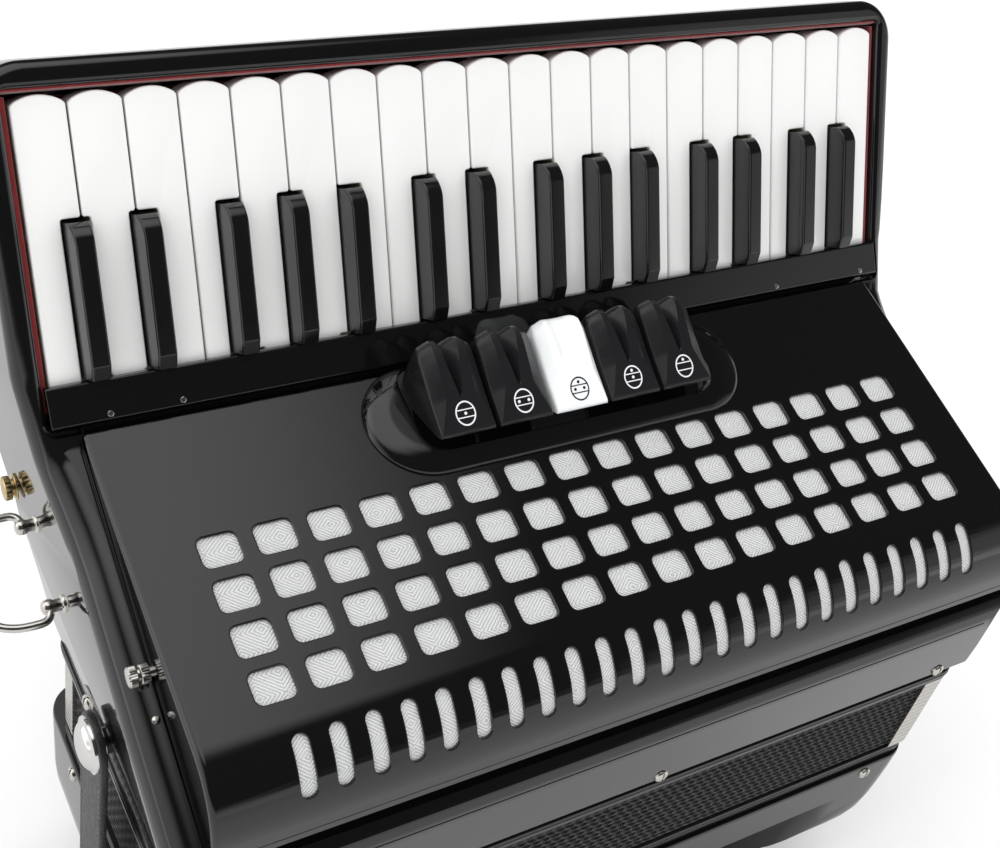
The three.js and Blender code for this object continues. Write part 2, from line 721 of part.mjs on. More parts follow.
// ---------------------------------------------------------------- straps that hold the bellows shut
function bellowsStrap(side) {
  const y = -71;
  const snapZ = -113;
  const pivotZ = -220;
  const outline = [...arc(y, snapZ, 16, 0, 180, 8), ...arc(y, pivotZ, 16, 180, 360, 8)];
  return union([
    prismX(outline, ...outwards(side, CASE_HALF + 0.5, CASE_HALF + 3.5)),
    rodX(y, pivotZ, 6, ...outwards(side, BASS_HALF + 0.4, CASE_HALF + 5), 10),
    rodX(y, snapZ, 8.5, ...outwards(side, CASE_HALF + 3, CASE_HALF + 7.5), 10),
  ]);
}

// ---------------------------------------------------------------- assembly
const accordion = new THREE.Group();
const treble = new THREE.Group();
const bass = new THREE.Group();
for (const group of [treble, bass]) {
  group.position.set(0, DATUM_Y, DATUM_Z);
  accordion.add(group);
}

function put(group, name, manifold, look) {
  const material = new THREE.MeshStandardMaterial(LOOKS[look]);
  const mesh = new THREE.Mesh(geometryOf(manifold), material);
  mesh.name = name;
  group.add(mesh);
}
const twoDigits = (number) => String(number).padStart(2, "0");

for (let i = 1; i <= WHITE_KEYS; i++) {
  put(treble, "white_key_" + twoDigits(i), whiteKey(i), "ivory");
}
[...BLACK_KEYS].forEach(([gap, shift], i) => {
  put(treble, "black_key_" + twoDigits(i + 1), blackKey(gap, shift), "ebony");
});
put(treble, "key_axle", keyAxle(), "nickel");
put(treble, "treble_casing", trebleCasing(), "lacquer");
put(treble, "grille_cover", grilleCover(), "lacquer");
put(treble, "grille_cloth", grilleCloth(), "clothSilver");
put(treble, "fallboard", fallboard(), "lacquer");
for (let i = 0; i < TABS; i++) {
  put(treble, "register_tab_" + (i + 1), registerTab(i), i === MIDDLE_TAB ? "ivory" : "satin");
}
put(treble, "treble_soundboard", trebleSoundboard(), "wood");
put(treble, "treble_reed_block", reedBlock(TREBLE_REEDS), "wood");
put(treble, "treble_bellows_frame", hollowFrame(TREBLE_FRAME), "satin");

put(bass, "bellows", hollowFrame(BELLOWS), "clothBlack");
put(bass, "bass_bellows_frame", hollowFrame(BASS_FRAME), "satin");
put(bass, "bass_casing", bassCasing(), "lacquer");
put(bass, "bass_button_board", buttonBoard(), "lacquer");
put(bass, "bass_buttons", bassButtons(), "cream");
put(bass, "bass_cover", bassCover(), "satin");
put(bass, "air_button", airButton(), "nickel");
put(bass, "bass_strap", handStrap(), "leather");
put(bass, "bass_reed_block", reedBlock(BASS_REEDS), "wood");

for (const [side, end] of [[-1, "left"], [1, "right"]]) {
  put(bass, "bellows_strap_" + end, bellowsStrap(side), "leather");
  put(treble, "strap_ring_" + end, strapRing(side), "nickel");
}

export default accordion;
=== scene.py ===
import bpy
import bmesh
import random
from contextlib import contextmanager
from math import acos, asin, atan2, cos, exp, floor, hypot, pi, radians, sin, sqrt, tan
import numpy as np
from mathutils import Matrix, Vector


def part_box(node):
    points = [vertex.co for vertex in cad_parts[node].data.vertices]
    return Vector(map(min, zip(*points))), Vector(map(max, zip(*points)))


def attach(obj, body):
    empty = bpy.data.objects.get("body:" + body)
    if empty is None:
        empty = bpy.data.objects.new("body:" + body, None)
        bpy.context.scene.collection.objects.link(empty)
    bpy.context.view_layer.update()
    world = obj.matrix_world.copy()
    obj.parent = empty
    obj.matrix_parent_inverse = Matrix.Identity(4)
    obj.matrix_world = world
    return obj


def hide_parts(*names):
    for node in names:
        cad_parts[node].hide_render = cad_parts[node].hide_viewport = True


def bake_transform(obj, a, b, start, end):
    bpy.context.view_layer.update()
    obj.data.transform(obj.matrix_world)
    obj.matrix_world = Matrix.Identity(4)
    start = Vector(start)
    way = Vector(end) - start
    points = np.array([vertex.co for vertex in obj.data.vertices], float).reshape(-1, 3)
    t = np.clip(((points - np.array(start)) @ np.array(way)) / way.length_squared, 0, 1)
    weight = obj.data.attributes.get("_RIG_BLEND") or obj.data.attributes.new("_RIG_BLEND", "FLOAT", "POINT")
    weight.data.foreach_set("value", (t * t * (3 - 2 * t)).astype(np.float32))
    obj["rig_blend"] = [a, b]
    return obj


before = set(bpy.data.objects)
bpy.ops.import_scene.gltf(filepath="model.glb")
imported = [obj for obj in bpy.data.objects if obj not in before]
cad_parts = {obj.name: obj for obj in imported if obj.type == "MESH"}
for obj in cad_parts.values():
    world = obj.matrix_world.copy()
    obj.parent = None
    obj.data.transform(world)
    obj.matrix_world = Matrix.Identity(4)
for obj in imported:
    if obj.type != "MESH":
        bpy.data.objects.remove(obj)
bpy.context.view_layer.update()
random.seed(7)

# ------------------------------------------------------------------ datum and frames
CASE_FRONT, CASE_FOOT = -160, -138  # lowest y and z of the treble casing
case_low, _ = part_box("treble_casing")
SHIFT_Y = case_low.y * 1000 - CASE_FRONT
SHIFT_Z = case_low.z * 1000 - CASE_FOOT
TO_METRES = Matrix.Translation((0, SHIFT_Y / 1000, SHIFT_Z / 1000)) @ Matrix.Scale(0.001, 4)
X, Y, Z = Vector((1, 0, 0)), Vector((0, 1, 0)), Vector((0, 0, 1))
SIDES = ((-1, "left"), (1, "right"))


class Frame:
    """Three axes and an origin; calling it turns local coordinates into a point."""

    def __init__(self, x, y, z, origin=(0, 0, 0)):
        self.x, self.y, self.z, self.origin = Vector(x), Vector(y), Vector(z), Vector(origin)

    def __call__(self, x, y, z):
        return self.origin + self.x * x + self.y * y + self.z * z

    def at(self, x, y, z=0):
        """The same axes with their origin at a local point."""
        return Frame(self.x, self.y, self.z, self(x, y, z))

    def side(self, along, out):
        """(y, z) in the datum frame of a point on the local x = 0 plane."""
        point = self(0, along, out)
        return (point.y, point.z)


def square_to(direction):
    """A direction in the yz plane turned a quarter turn within it."""
    return Vector((0, -direction.z, direction.y))


KEY_TILT = radians(26.76)
COVER_TILT = radians(74.69)
KEY_ALONG = Vector((0, sin(KEY_TILT), cos(KEY_TILT)))
KEY_OUT = square_to(KEY_ALONG)
COVER_ALONG = Vector((0, sin(COVER_TILT), cos(COVER_TILT)))
COVER_OUT = square_to(COVER_ALONG)
FIRST_ROW = Vector((0, -70.3, -25.9))  # first row of grille windows
BOARD_LOW, BOARD_HIGH = Vector((0, -96, -285)), Vector((0, -150, -229))
BOARD_ALONG = (BOARD_HIGH - BOARD_LOW).normalized()

WORLD = Frame(X, Y, Z)
YZ = Frame(Y, Z, X)
XZ = Frame(X, Z, -Y)
KEYS = Frame(X, KEY_ALONG, KEY_OUT)
KEYS_SIDE = Frame(KEY_ALONG, KEY_OUT, X)
COVER = Frame(X, COVER_ALONG, COVER_OUT, FIRST_ROW)
BOARD = Frame(X, BOARD_ALONG, square_to(BOARD_ALONG), (BOARD_LOW + BOARD_HIGH) / 2)


# ------------------------------------------------------------------ flat outlines
def arc(x, y, radius, start, end, steps):
    angles = [radians(start + (end - start) * i / steps) for i in range(steps + 1)]
    return [(x + radius * cos(angle), y + radius * sin(angle)) for angle in angles]


def circle(x, y, radius, sides):
    return arc(x, y, radius, 0, 360 - 360 / sides, sides - 1)


def round_rect(x_low, x_high, y_low, y_high, radius, steps=8):
    return (
        arc(x_high - radius, y_low + radius, radius, -90, 0, steps)
        + arc(x_high - radius, y_high - radius, radius, 0, 90, steps)
        + arc(x_low + radius, y_high - radius, radius, 90, 180, steps)
        + arc(x_low + radius, y_low + radius, radius, 180, 270, steps)
    )


def capsule(x, low, high, radius, arc_steps, side_steps):
    """Slot shape; low and high are the y of its arc centres."""
    rise = [(high - low) * k / side_steps for k in range(1, side_steps)]
    return (
        arc(x, high, radius, 0, 180, arc_steps)
        + [(x - radius, high - step) for step in rise]
        + arc(x, low, radius, 180, 360, arc_steps)
        + [(x + radius, low + step) for step in rise]
    )


def clean(points, gap=1e-4):
    """Drop points that repeat the one before them."""
    kept = []
    for point in points:
        if not kept or hypot(point[0] - kept[-1][0], point[1] - kept[-1][1]) > gap:
            kept.append(tuple(point))
    if len(kept) > 1 and hypot(kept[0][0] - kept[-1][0], kept[0][1] - kept[-1][1]) <= gap:
        kept.pop()
    return kept


def ccw(points):
    """Cleaned points in counter-clockwise order."""
    pts = clean(points)
    turns = zip(pts, pts[1:] + pts[:1])
    if sum(here[0] * ahead[1] - ahead[0] * here[1] for here, ahead in turns) < 0:
        pts.reverse()
    return pts


def side_normal(start, end):
    run_x, run_y = end[0] - start[0], end[1] - start[1]
    length = hypot(run_x, run_y)
    return (-run_y / length, run_x / length)


def offset_poly(points, insets):
    """Move the sides of a counter-clockwise polygon in by one distance, or by one for each side."""
    if not np.any(np.abs(insets) > 1e-9):
        return points
    if not isinstance(insets, list):
        insets = [insets] * len(points)
    moved = []
    for i, point in enumerate(points):
        before = side_normal(points[i - 1], point)
        after = side_normal(point, points[(i + 1) % len(points)])
        inset_before, inset_after = insets[i - 1], insets[i]
        cross = before[0] * after[1] - before[1] * after[0]
        if abs(cross) < 0.03:  # nearly straight on
            inset = (inset_before + inset_after) / 2
            mean = ((before[0] + after[0]) / 2, (before[1] + after[1]) / 2)
            moved.append((point[0] + mean[0] * inset, point[1] + mean[1] * inset))
        else:
            line_before = point[0] * before[0] + point[1] * before[1] + inset_before
            line_after = point[0] * after[0] + point[1] * after[1] + inset_after
            moved.append((
                (line_before * after[1] - line_after * before[1]) / cross,
                (before[0] * line_after - after[0] * line_before) / cross,
            ))
    return moved


def round_poly(points, radius, steps=4):
    """Round the corners of a polygon; radius is a number or a function of the corner."""
    pts = clean(points)
    rounded = []
    for i, point in enumerate(pts):
        size = radius(point) if callable(radius) else radius
        corner = Vector(point)
        back = Vector(pts[i - 1]) - corner
        ahead = Vector(pts[(i + 1) % len(pts)]) - corner
        back_length, ahead_length = back.length, ahead.length
        back.normalize()
        ahead.normalize()
        angle = back.angle(ahead, pi)
        if size <= 0 or angle > radians(176):
            rounded.append(tuple(corner))
            continue
        reach = min(size / tan(angle / 2), back_length * 0.48, ahead_length * 0.48)
        radius_used = reach * tan(angle / 2)
        centre = corner + (back + ahead).normalized() * (radius_used / sin(angle / 2))
        start = corner + back * reach - centre
        end = corner + ahead * reach - centre
        sweep = atan2(start.x * end.y - start.y * end.x, start.dot(end))
        count = max(1, int(round(steps * abs(sweep) / (pi / 2) + 0.49)))
        for k in range(count + 1):
            turn = sweep * k / count
            rounded.append((
                centre.x + start.x * cos(turn) - start.y * sin(turn),
                centre.y + start.x * sin(turn) + start.y * cos(turn),
            ))
    return clean(rounded, 1e-3)


# ------------------------------------------------------------------ materials
class Graph:
    """A node tree and short ways to add to it."""

    def __init__(self, tree):
        self.tree = tree
        self.link = tree.links.new
        self.coords = self.new("TexCoord").outputs

    def new(self, kind, **settings):
        node = self.tree.nodes.new("ShaderNode" + kind)
        for key, value in settings.items():
            if key in node.inputs:
                node.inputs[key].default_value = value
            else:
                setattr(node, key, value)
        return node

    def feed(self, value, socket):
        if isinstance(value, bpy.types.NodeSocket):
            self.link(value, socket)
        elif isinstance(value, tuple) and len(socket.default_value) == 4:
            socket.default_value = (*value, 1)
        else:
            socket.default_value = value

    def math(self, operation, *values):
        node = self.new("Math", operation=operation)
        for value, socket in zip(values, node.inputs):
            self.feed(value, socket)
        return node.outputs[0]

    def plus(self, first, second):
        return self.math("ADD", first, second)

    def times(self, first, second):
        return self.math("MULTIPLY", first, second)


class Shader(Graph):
    """A Principled material and the nodes that feed it."""

    def __init__(self, name):
        self.material = bpy.data.materials.new(name)
        self.material.use_nodes = True
        super().__init__(self.material.node_tree)
        self.principled = self.tree.nodes["Principled BSDF"]

    def noise(self, scale, detail=4, rough=0.5, vector=None, stretch=None):
        node = self.new("TexNoise", Scale=scale, Detail=detail, Roughness=rough)
        source = vector or self.coords["Object"]
        if stretch:
            mapping = self.new("Mapping", Scale=stretch)
            self.link(source, mapping.inputs["Vector"])
            source = mapping.outputs["Vector"]
        self.link(source, node.inputs["Vector"])
        return node.outputs["Fac"]

    def ramp(self, factor, stops):
        """stops are (position, grey level or colour) pairs"""
        node = self.new("ValToRGB")
        elements = node.color_ramp.elements
        while len(elements) < len(stops):
            elements.new(0.5)
        for element, (position, color) in zip(elements, stops):
            element.position = position
            element.color = (*color, 1) if isinstance(color, tuple) else (color, color, color, 1)
        self.link(factor, node.inputs["Fac"])
        return node.outputs["Color"]

    def mix(self, factor, first, second):
        node = self.new("Mix", data_type="RGBA")
        # sockets 6 and 7 are the colours A and B, output 2 is the colour result
        for i, value in ((0, factor), (6, first), (7, second)):
            self.feed(value, node.inputs[i])
        return node.outputs[2]

    def bump(self, height, strength, distance):
        node = self.new("Bump", Strength=strength, Distance=distance)
        self.link(height, node.inputs["Height"])
        return node.outputs["Normal"]

    def uv(self):
        """The two coordinates of the UV map."""
        split = self.new("SeparateXYZ")
        self.link(self.coords["UV"], split.inputs[0])
        return split.outputs[0], split.outputs[1]

    def triangle(self, value, period):
        """Triangle wave 0..1..0 of a value."""
        wave = self.new("Math", operation="PINGPONG")
        wave.inputs[1].default_value = period / 2
        self.link(self.plus(value, 0.0), wave.inputs[0])
        return self.math("DIVIDE", wave.outputs[0], period / 2)

    def sine(self, value, period):
        return self.math("SINE", self.times(value, 2 * pi / period))

    def surface(self, **values):
        for key, value in values.items():
            self.feed(value, self.principled.inputs[key.replace("_", " ")])
        return self.material


def scaled(color, factor):
    return tuple(channel * factor for channel in color)


def lacquer(name):
    """High gloss black with faint smudges, orange peel and dust."""
    mat = Shader(name)
    smudge = mat.noise(scale=14, detail=5, rough=0.6)
    fine = mat.noise(scale=900, detail=2)
    roughness = mat.ramp(smudge, [(0.35, 0.045), (0.75, 0.0855)])
    peel = mat.noise(scale=120, detail=2, rough=0.4)
    dust = mat.ramp(mat.noise(scale=2600, detail=2, rough=0.6), [(0.74, 0.0), (0.8, 1.0)])
    color = mat.mix(mat.times(dust, 0.02), (0.0035, 0.0035, 0.004), (0.25, 0.25, 0.25))
    height = mat.plus(mat.times(peel, 0.5), mat.times(fine, 0.06))
    return mat.surface(
        Base_Color=color, Roughness=roughness, IOR=1.52, Coat_Weight=0.35, Coat_Roughness=0.02,
        Normal=mat.bump(height, strength=0.012, distance=0.002),
    )


def plastic(name, base, rough, grain=1500, relief=0.02, vary=0.06, coat=0.0, subsurface=0.0):
    """grain is the scale of the surface noise, relief its bump, vary the change in colour"""
    mat = Shader(name)
    blotch = mat.noise(scale=30, rough=0.55)
    fine = mat.noise(scale=grain, detail=2)
    light = tuple(min(1, channel * (1 + vary * 0.5)) for channel in base)
    color = mat.mix(blotch, scaled(base, 1 - vary), light)
    wear = mat.noise(scale=60, rough=0.6)
    roughness = mat.ramp(wear, [(0.3, rough * 0.85), (0.75, rough * 1.3)])
    mat.surface(
        Base_Color=color, Roughness=roughness, Coat_Weight=coat, Coat_Roughness=0.03,
        Normal=mat.bump(fine, strength=relief, distance=0.0008),
    )
    if subsurface:
        mat.surface(
            Subsurface_Weight=subsurface, Subsurface_Radius=(0.004, 0.003, 0.002),
            Subsurface_Scale=1.0,
        )
    return mat.material


def metal(name, base, rough):
    mat = Shader(name)
    tarnish = mat.noise(scale=90, detail=5, rough=0.6)
    color = mat.mix(tarnish, scaled(base, 0.82), base)
    wear = mat.noise(scale=300, detail=3, rough=0.6)
    roughness = mat.ramp(wear, [(0.3, rough * 0.6), (0.8, rough * 1.6)])
    return mat.surface(
        Base_Color=color, Metallic=1.0, Roughness=roughness,
        Normal=mat.bump(mat.noise(scale=1500, detail=2), strength=0.03, distance=0.0005),
    )


def wood(name, dark, light, rough, axis):
    """Grain runs along the given axis (0 is x, 1 is y)."""
    mat = Shader(name)
    stretch = [260, 260, 260]
    stretch[axis] = 14
    fine_stretch = tuple(value * 4 for value in stretch)
    grain = mat.noise(scale=1.0, detail=5, rough=0.6, stretch=tuple(stretch))
    fine = mat.noise(scale=1.0, detail=3, stretch=fine_stretch)
    color = mat.mix(mat.ramp(grain, [(0.35, 0.0), (0.65, 1.0)]), dark, light)
    height = mat.plus(mat.times(grain, 0.7), mat.times(fine, 0.3))
    normal = mat.bump(height, strength=0.15, distance=0.0006)
    return mat.surface(Base_Color=color, Roughness=rough, Normal=normal)


def felt(name, dark, light):
    mat = Shader(name)
    fibre = mat.noise(scale=1400, detail=6, rough=0.75)
    clump = mat.noise(scale=220, rough=0.6)
    color = mat.mix(clump, dark, light)
    height = mat.plus(mat.times(fibre, 0.8), mat.times(clump, 0.5))
    return mat.surface(
        Base_Color=color, Roughness=0.95, Sheen_Weight=0.5, Sheen_Roughness=0.5,
        Normal=mat.bump(height, strength=0.6, distance=0.0012),
    )


def leather(name, base):
    mat = Shader(name)
    cells = mat.new("TexVoronoi", Scale=900.0)
    mat.link(mat.coords["Object"], cells.inputs["Vector"])
    pores = mat.noise(scale=500, detail=5, rough=0.65)
    crease = mat.noise(scale=60, rough=0.6)
    height = mat.plus(mat.times(cells.outputs["Distance"], 0.7), mat.times(pores, 0.5))
    color = mat.mix(crease, scaled(base, 0.7), scaled(base, 1.7))
    roughness = mat.ramp(pores, [(0.3, 0.33), (0.8, 0.55)])
    normal = mat.bump(height, strength=0.35, distance=0.0007)
    return mat.surface(Base_Color=color, Roughness=roughness, Normal=normal)


def rubber(name):
    mat = Shader(name)
    grain = mat.noise(scale=1800, rough=0.7)
    return mat.surface(
        Base_Color=mat.mix(mat.noise(scale=80), (0.012, 0.012, 0.012), (0.03, 0.03, 0.03)),
        Roughness=0.75,
        Normal=mat.bump(grain, strength=0.3, distance=0.0006),
    )


def grille_cloth(name):
    """Silver cloth embossed with nested diamonds; its UV map is in millimetres."""
    diamond_width, diamond_height, rings_per_diamond, thread_pitch = 19.0, 16.0, 5.5, 0.5
    mat = Shader(name)
    across, down = mat.uv()
    wobble = mat.noise(scale=0.5, detail=3, rough=0.6, vector=mat.coords["UV"])
    wave_across = mat.triangle(across, diamond_width)
    wave_down = mat.triangle(down, diamond_height)
    diamond = mat.plus(mat.plus(wave_across, wave_down), mat.times(wobble, 0.05))
    rings = mat.math("SINE", mat.times(diamond, 2 * pi * rings_per_diamond))
    warp = mat.sine(across, thread_pitch)
    weft = mat.sine(down, thread_pitch)
    weave = mat.times(warp, weft)
    fuzz = mat.noise(scale=2.4, detail=5, rough=0.72, vector=mat.coords["UV"])
    height = mat.plus(
        mat.times(rings, 0.3), mat.plus(mat.times(weave, 0.1), mat.times(fuzz, 0.75))
    )
    color = mat.ramp(
        mat.plus(mat.times(height, 0.62), 0.22),
        [(0.15, (0.4, 0.41, 0.41)), (0.45, (0.78, 0.79, 0.79)), (0.75, (1.0, 1.0, 1.0))],
    )
    roughness = mat.ramp(fuzz, [(0.3, 0.34), (0.8, 0.6)])
    return mat.surface(
        Base_Color=color, Metallic=0.15, Roughness=roughness, Sheen_Weight=0.15,
        Normal=mat.bump(height, strength=0.7, distance=0.0009),
    )


def bellows_cloth(name):
    """Black cloth with grey threads that slant one way on one fold and back on the next.

    UV map: u is millimetres round the bellows, v counts folds. Painted shade darkens the colour towards the
    inner crease of each fold.
    """
    slant, stripe_pitch, thread_pitch = 4.4, 4.7, 0.94
    mat = Shader(name)
    around, fold = mat.uv()
    lean = mat.triangle(fold, 2.0)
    wobble = mat.noise(scale=0.25, detail=3, rough=0.6, vector=mat.coords["UV"])
    place = mat.plus(mat.plus(around, mat.times(lean, slant)), mat.times(wobble, 0.9))
    stripe = mat.sine(place, stripe_pitch)
    thread = mat.sine(place, thread_pitch)
    fuzz = mat.noise(scale=1700, rough=0.7)
    lines = mat.plus(mat.times(stripe, 0.8), mat.times(thread, 0.3))
    # painted shade: edge is 1 at the inner crease of each fold (whole v) and darkens the tone there
    edge = mat.math("ABSOLUTE", mat.math("SUBTRACT", mat.triangle(fold, 1.0), 1.0))
    tone = mat.plus(
        mat.times(lines, 0.36), mat.plus(mat.times(fuzz, 0.3), mat.times(edge, -0.06))
    )
    color = mat.ramp(
        mat.plus(tone, 0.18),
        [
            (0.2, (0.003, 0.003, 0.004)),
            (0.42, (0.014, 0.014, 0.016)),
            (0.6, (0.075, 0.075, 0.083)),
            (0.85, (0.13, 0.13, 0.145)),
        ],
    )
    height = mat.plus(mat.times(lines, 0.7), fuzz)
    return mat.surface(
        Base_Color=color, Roughness=0.55, Sheen_Weight=0.1,
        Normal=mat.bump(height, strength=0.7, distance=0.0009),
    )


def stage(name, base):
    """Matt floor that looks darker in reflections."""
    mat = Shader(name)
    color = mat.mix(mat.noise(scale=3, detail=3), scaled(base, 0.985), base)
    glossy = mat.new("LightPath").outputs["Is Glossy Ray"]
    color = mat.mix(glossy, color, scaled(base, 0.7))
    normal = mat.bump(mat.noise(scale=200, detail=3), strength=0.02, distance=0.001)
    return mat.surface(Base_Color=color, Roughness=0.85, Normal=normal)


MATERIALS = {
    "lacquer": lacquer("lacquer_black"),
    "white": plastic(
        "key_white", (0.84, 0.84, 0.83), rough=0.13, grain=900, relief=0.01, vary=0.02,
        coat=0.5, subsurface=0.08,
    ),
    "keywood": wood("key_arm_wood", (0.42, 0.33, 0.2), (0.62, 0.52, 0.35), rough=0.5, axis=1),
    "ebony": plastic(
        "key_black", (0.005, 0.005, 0.0055), rough=0.1, grain=700, relief=0.015, vary=0.3,
        coat=0.4,
    ),
    "tab": plastic(
        "register_black", (0.011, 0.011, 0.0125), rough=0.27, grain=2200, relief=0.05, vary=0.2
    ),
    "tabwhite": plastic(
        "register_white", (0.83, 0.85, 0.86), rough=0.16, grain=1200, relief=0.015, vary=0.03,
        coat=0.3, subsurface=0.05,
    ),
    "emblem": plastic(
        "emblem_white", (0.8, 0.8, 0.82), rough=0.35, grain=2000, relief=0.03, vary=0.05
    ),
    "emblem_dark": plastic(
        "emblem_dark", (0.006, 0.006, 0.012), rough=0.22, grain=2000, relief=0.03, vary=0.1
    ),
    "nickel": metal("nickel", (0.78, 0.75, 0.70), rough=0.13),
    "chrome": metal("chrome", (0.86, 0.85, 0.84), rough=0.07),
    "brass": metal("reed_brass", (0.72, 0.55, 0.28), rough=0.25),
    "steel": metal("reed_steel", (0.55, 0.57, 0.6), rough=0.2),
    "felt": felt("felt_red", (0.16, 0.002, 0.003), (0.27, 0.006, 0.008)),
    "palletfelt": felt("felt_pallet", (0.5, 0.46, 0.4), (0.62, 0.58, 0.5)),
    "leather": leather("leather_black", (0.012, 0.0115, 0.011)),
    "leather_edge": leather("leather_edge", (0.02, 0.017, 0.014)),
    "thread": felt("stitch_thread", (0.05, 0.05, 0.052), (0.09, 0.09, 0.095)),
    "cloth": grille_cloth("grille_cloth_silver"),
    "bellows": bellows_cloth("bellows_cloth"),
    "satin": plastic(
        "satin_black", (0.008, 0.008, 0.009), rough=0.3, grain=1600, relief=0.04, vary=0.2
    ),
    "rubber": rubber("rubber_black"),
    "spruce": wood("soundboard_wood", (0.5, 0.33, 0.16), (0.66, 0.48, 0.27), rough=0.45, axis=0),
    "button": plastic(
        "button_cream", (0.82, 0.79, 0.71), rough=0.14, grain=900, relief=0.01, vary=0.03,
        coat=0.5, subsurface=0.05,
    ),
    "inside": plastic(
        "inside_black", (0.006, 0.006, 0.006), rough=0.6, grain=600, relief=0.2, vary=0.3
    ),
}


# ------------------------------------------------------------------ meshes, in millimetres
def mesh_object(verts, faces, space=WORLD):
    """Object from vertices and faces, with the faces turned over if space is left-handed."""
    if space.x.cross(space.y).dot(space.z) < 0:
        faces = [face[::-1] for face in faces]
    mesh = bpy.data.meshes.new("tmp")
    mesh.from_pydata([tuple(vert) for vert in verts], [], [tuple(face) for face in faces])
    mesh.validate()
    mesh.update()
    obj = bpy.data.objects.new("tmp", mesh)
    bpy.context.scene.collection.objects.link(obj)
    return obj


def wall_faces(rings, size, wrap=False):
    """Quads between neighbouring rings of points; wrap joins the last ring to the first."""
    faces = []
    for i in range(rings if wrap else rings - 1):
        low, high = i * size, (i + 1) % rings * size
        for j in range(size):
            ahead = (j + 1) % size
            faces.append([low + j, low + ahead, high + ahead, high + j])
    return faces


def shell_faces(rows, columns):
    """Faces of a closed shell made of two grids of points, the second after the first."""
    back = rows * columns
    faces = []
    for i in range(rows - 1):
        for j in range(columns - 1):
            top = i * columns + j
            low = top + back
            faces.append([top, top + 1, top + columns + 1, top + columns])
            faces.append([low, low + columns, low + columns + 1, low + 1])
    for j in range(columns - 1):
        last = (rows - 1) * columns + j
        faces.append([j, back + j, back + j + 1, j + 1])
        faces.append([last, last + 1, back + last + 1, back + last])
    for i in range(rows - 1):
        left = i * columns
        right = left + columns - 1
        faces.append([left, left + columns, back + left + columns, back + left])
        faces.append([right, back + right, back + right + columns, right + columns])
    return faces


def prism(points, low, high, space=WORLD):
    pts = ccw(points)
    count = len(pts)
    verts = [space(x, y, z) for z in (low, high) for x, y in pts]
    faces = [list(range(count))[::-1], list(range(count, 2 * count))]
    return mesh_object(verts, faces + wall_faces(2, count), space)


def block(x_low, x_high, y_low, y_high, z_low, z_high, space=WORLD):
    plan = [(x_low, y_low), (x_high, y_low), (x_high, y_high), (x_low, y_high)]
    return prism(plan, z_low, z_high, space)


def ring_solid(pts, rings, space=WORLD):
    """Solid through rings of (height, inset) of a counter-clockwise outline."""
    count = len(pts)
    verts = [space(x, y, height) for height, inset in rings for x, y in offset_poly(pts, inset)]
    faces = [list(range(count))[::-1]] + wall_faces(len(rings), count)
    faces.append(list(range(len(verts) - count, len(verts))))
    return mesh_object(verts, faces, space)


def round_depth(radius, k, steps):
    """Depth of station k on a quarter round."""
    return radius * (1 - cos(radians(90 * k / steps)))


def round_inset(radius, depth):
    """How far a rounded edge is drawn in at a depth below its face."""
    return radius - sqrt(max(0.0, radius * radius - (radius - depth) ** 2))


def rounded_prism(points, low, high, space=WORLD, top=0.0, bottom=0.0, steps=3):
    """Prism with rounded end edges; top and bottom are radii or functions of an edge's middle."""
    pts = ccw(points)
    mids = [
        ((here[0] + ahead[0]) / 2, (here[1] + ahead[1]) / 2)
        for here, ahead in zip(pts, pts[1:] + pts[:1])
    ]

    def end_rings(radius):
        """(depth, insets) from the end face inwards"""
        sizes = [float(radius(mid)) if callable(radius) else float(radius) for mid in mids]
        depths = {0.0}
        for size in set(sizes):
            if size > 0:
                depths |= {round(round_depth(size, k, steps), 6) for k in range(steps + 1)}
        return [
            (depth, [round_inset(size, depth) if depth < size else 0.0 for size in sizes])
            for depth in sorted(depths)
        ]

    rings = [(low + depth, insets) for depth, insets in end_rings(bottom)]
    rings += [(high - depth, insets) for depth, insets in reversed(end_rings(top))]
    return ring_solid(pts, rings, space)


def flare(points, low, face, radius, space=WORLD, rise=3, steps=3):
    """Cutter that leaves a rounded edge where it comes out through the face."""
    rings = [(low, 0.0)]
    for k in range(steps, -1, -1):
        depth = round_depth(radius, k, steps)
        rings.append((face - depth, -round_inset(radius, depth)))
    rings.append((face + rise, -radius))
    return ring_solid(ccw(points), rings, space)


def loft(sections):
    """Capped solid through closed sections with equal numbers of points."""
    size = len(sections[0])
    verts = [point for section in sections for point in section]
    faces = wall_faces(len(sections), size)
    faces.append(list(range(size))[::-1])
    faces.append(list(range(len(verts) - size, len(verts))))
    return mesh_object(verts, faces)


def lathe(profile, segments, space):
    """Turn (radius, height) rows about the local z axis; a third entry is the depth of ribs."""
    verts, faces, rings = [], [], []
    for radius, height, *ribs in profile:
        depth = ribs[0] if ribs else 0.0
        if radius < 1e-6:
            rings.append([len(verts)])
            verts.append(space(0, 0, height))
            continue
        rings.append(list(range(len(verts), len(verts) + segments)))
        for i in range(segments):
            angle = 2 * pi * i / segments
            reach = radius * (1 - depth * (i % 2))
            verts.append(space(reach * cos(angle), reach * sin(angle), height))
    for low, high in zip(rings, rings[1:]):
        for i in range(segments):
            j = (i + 1) % segments
            if len(low) == 1:
                faces.append([low[0], high[i], high[j]])
            elif len(high) == 1:
                faces.append([low[i], high[0], low[j]])
            else:
                faces.append([low[i], high[i], high[j], low[j]])
    if len(rings[0]) > 1:
        faces.append(rings[0])
    if len(rings[-1]) > 1:
        faces.append(rings[-1][::-1])
    return mesh_object(verts, faces)


def tangent(points, i):
    return (points[min(i + 1, len(points) - 1)] - points[max(i - 1, 0)]).normalized()


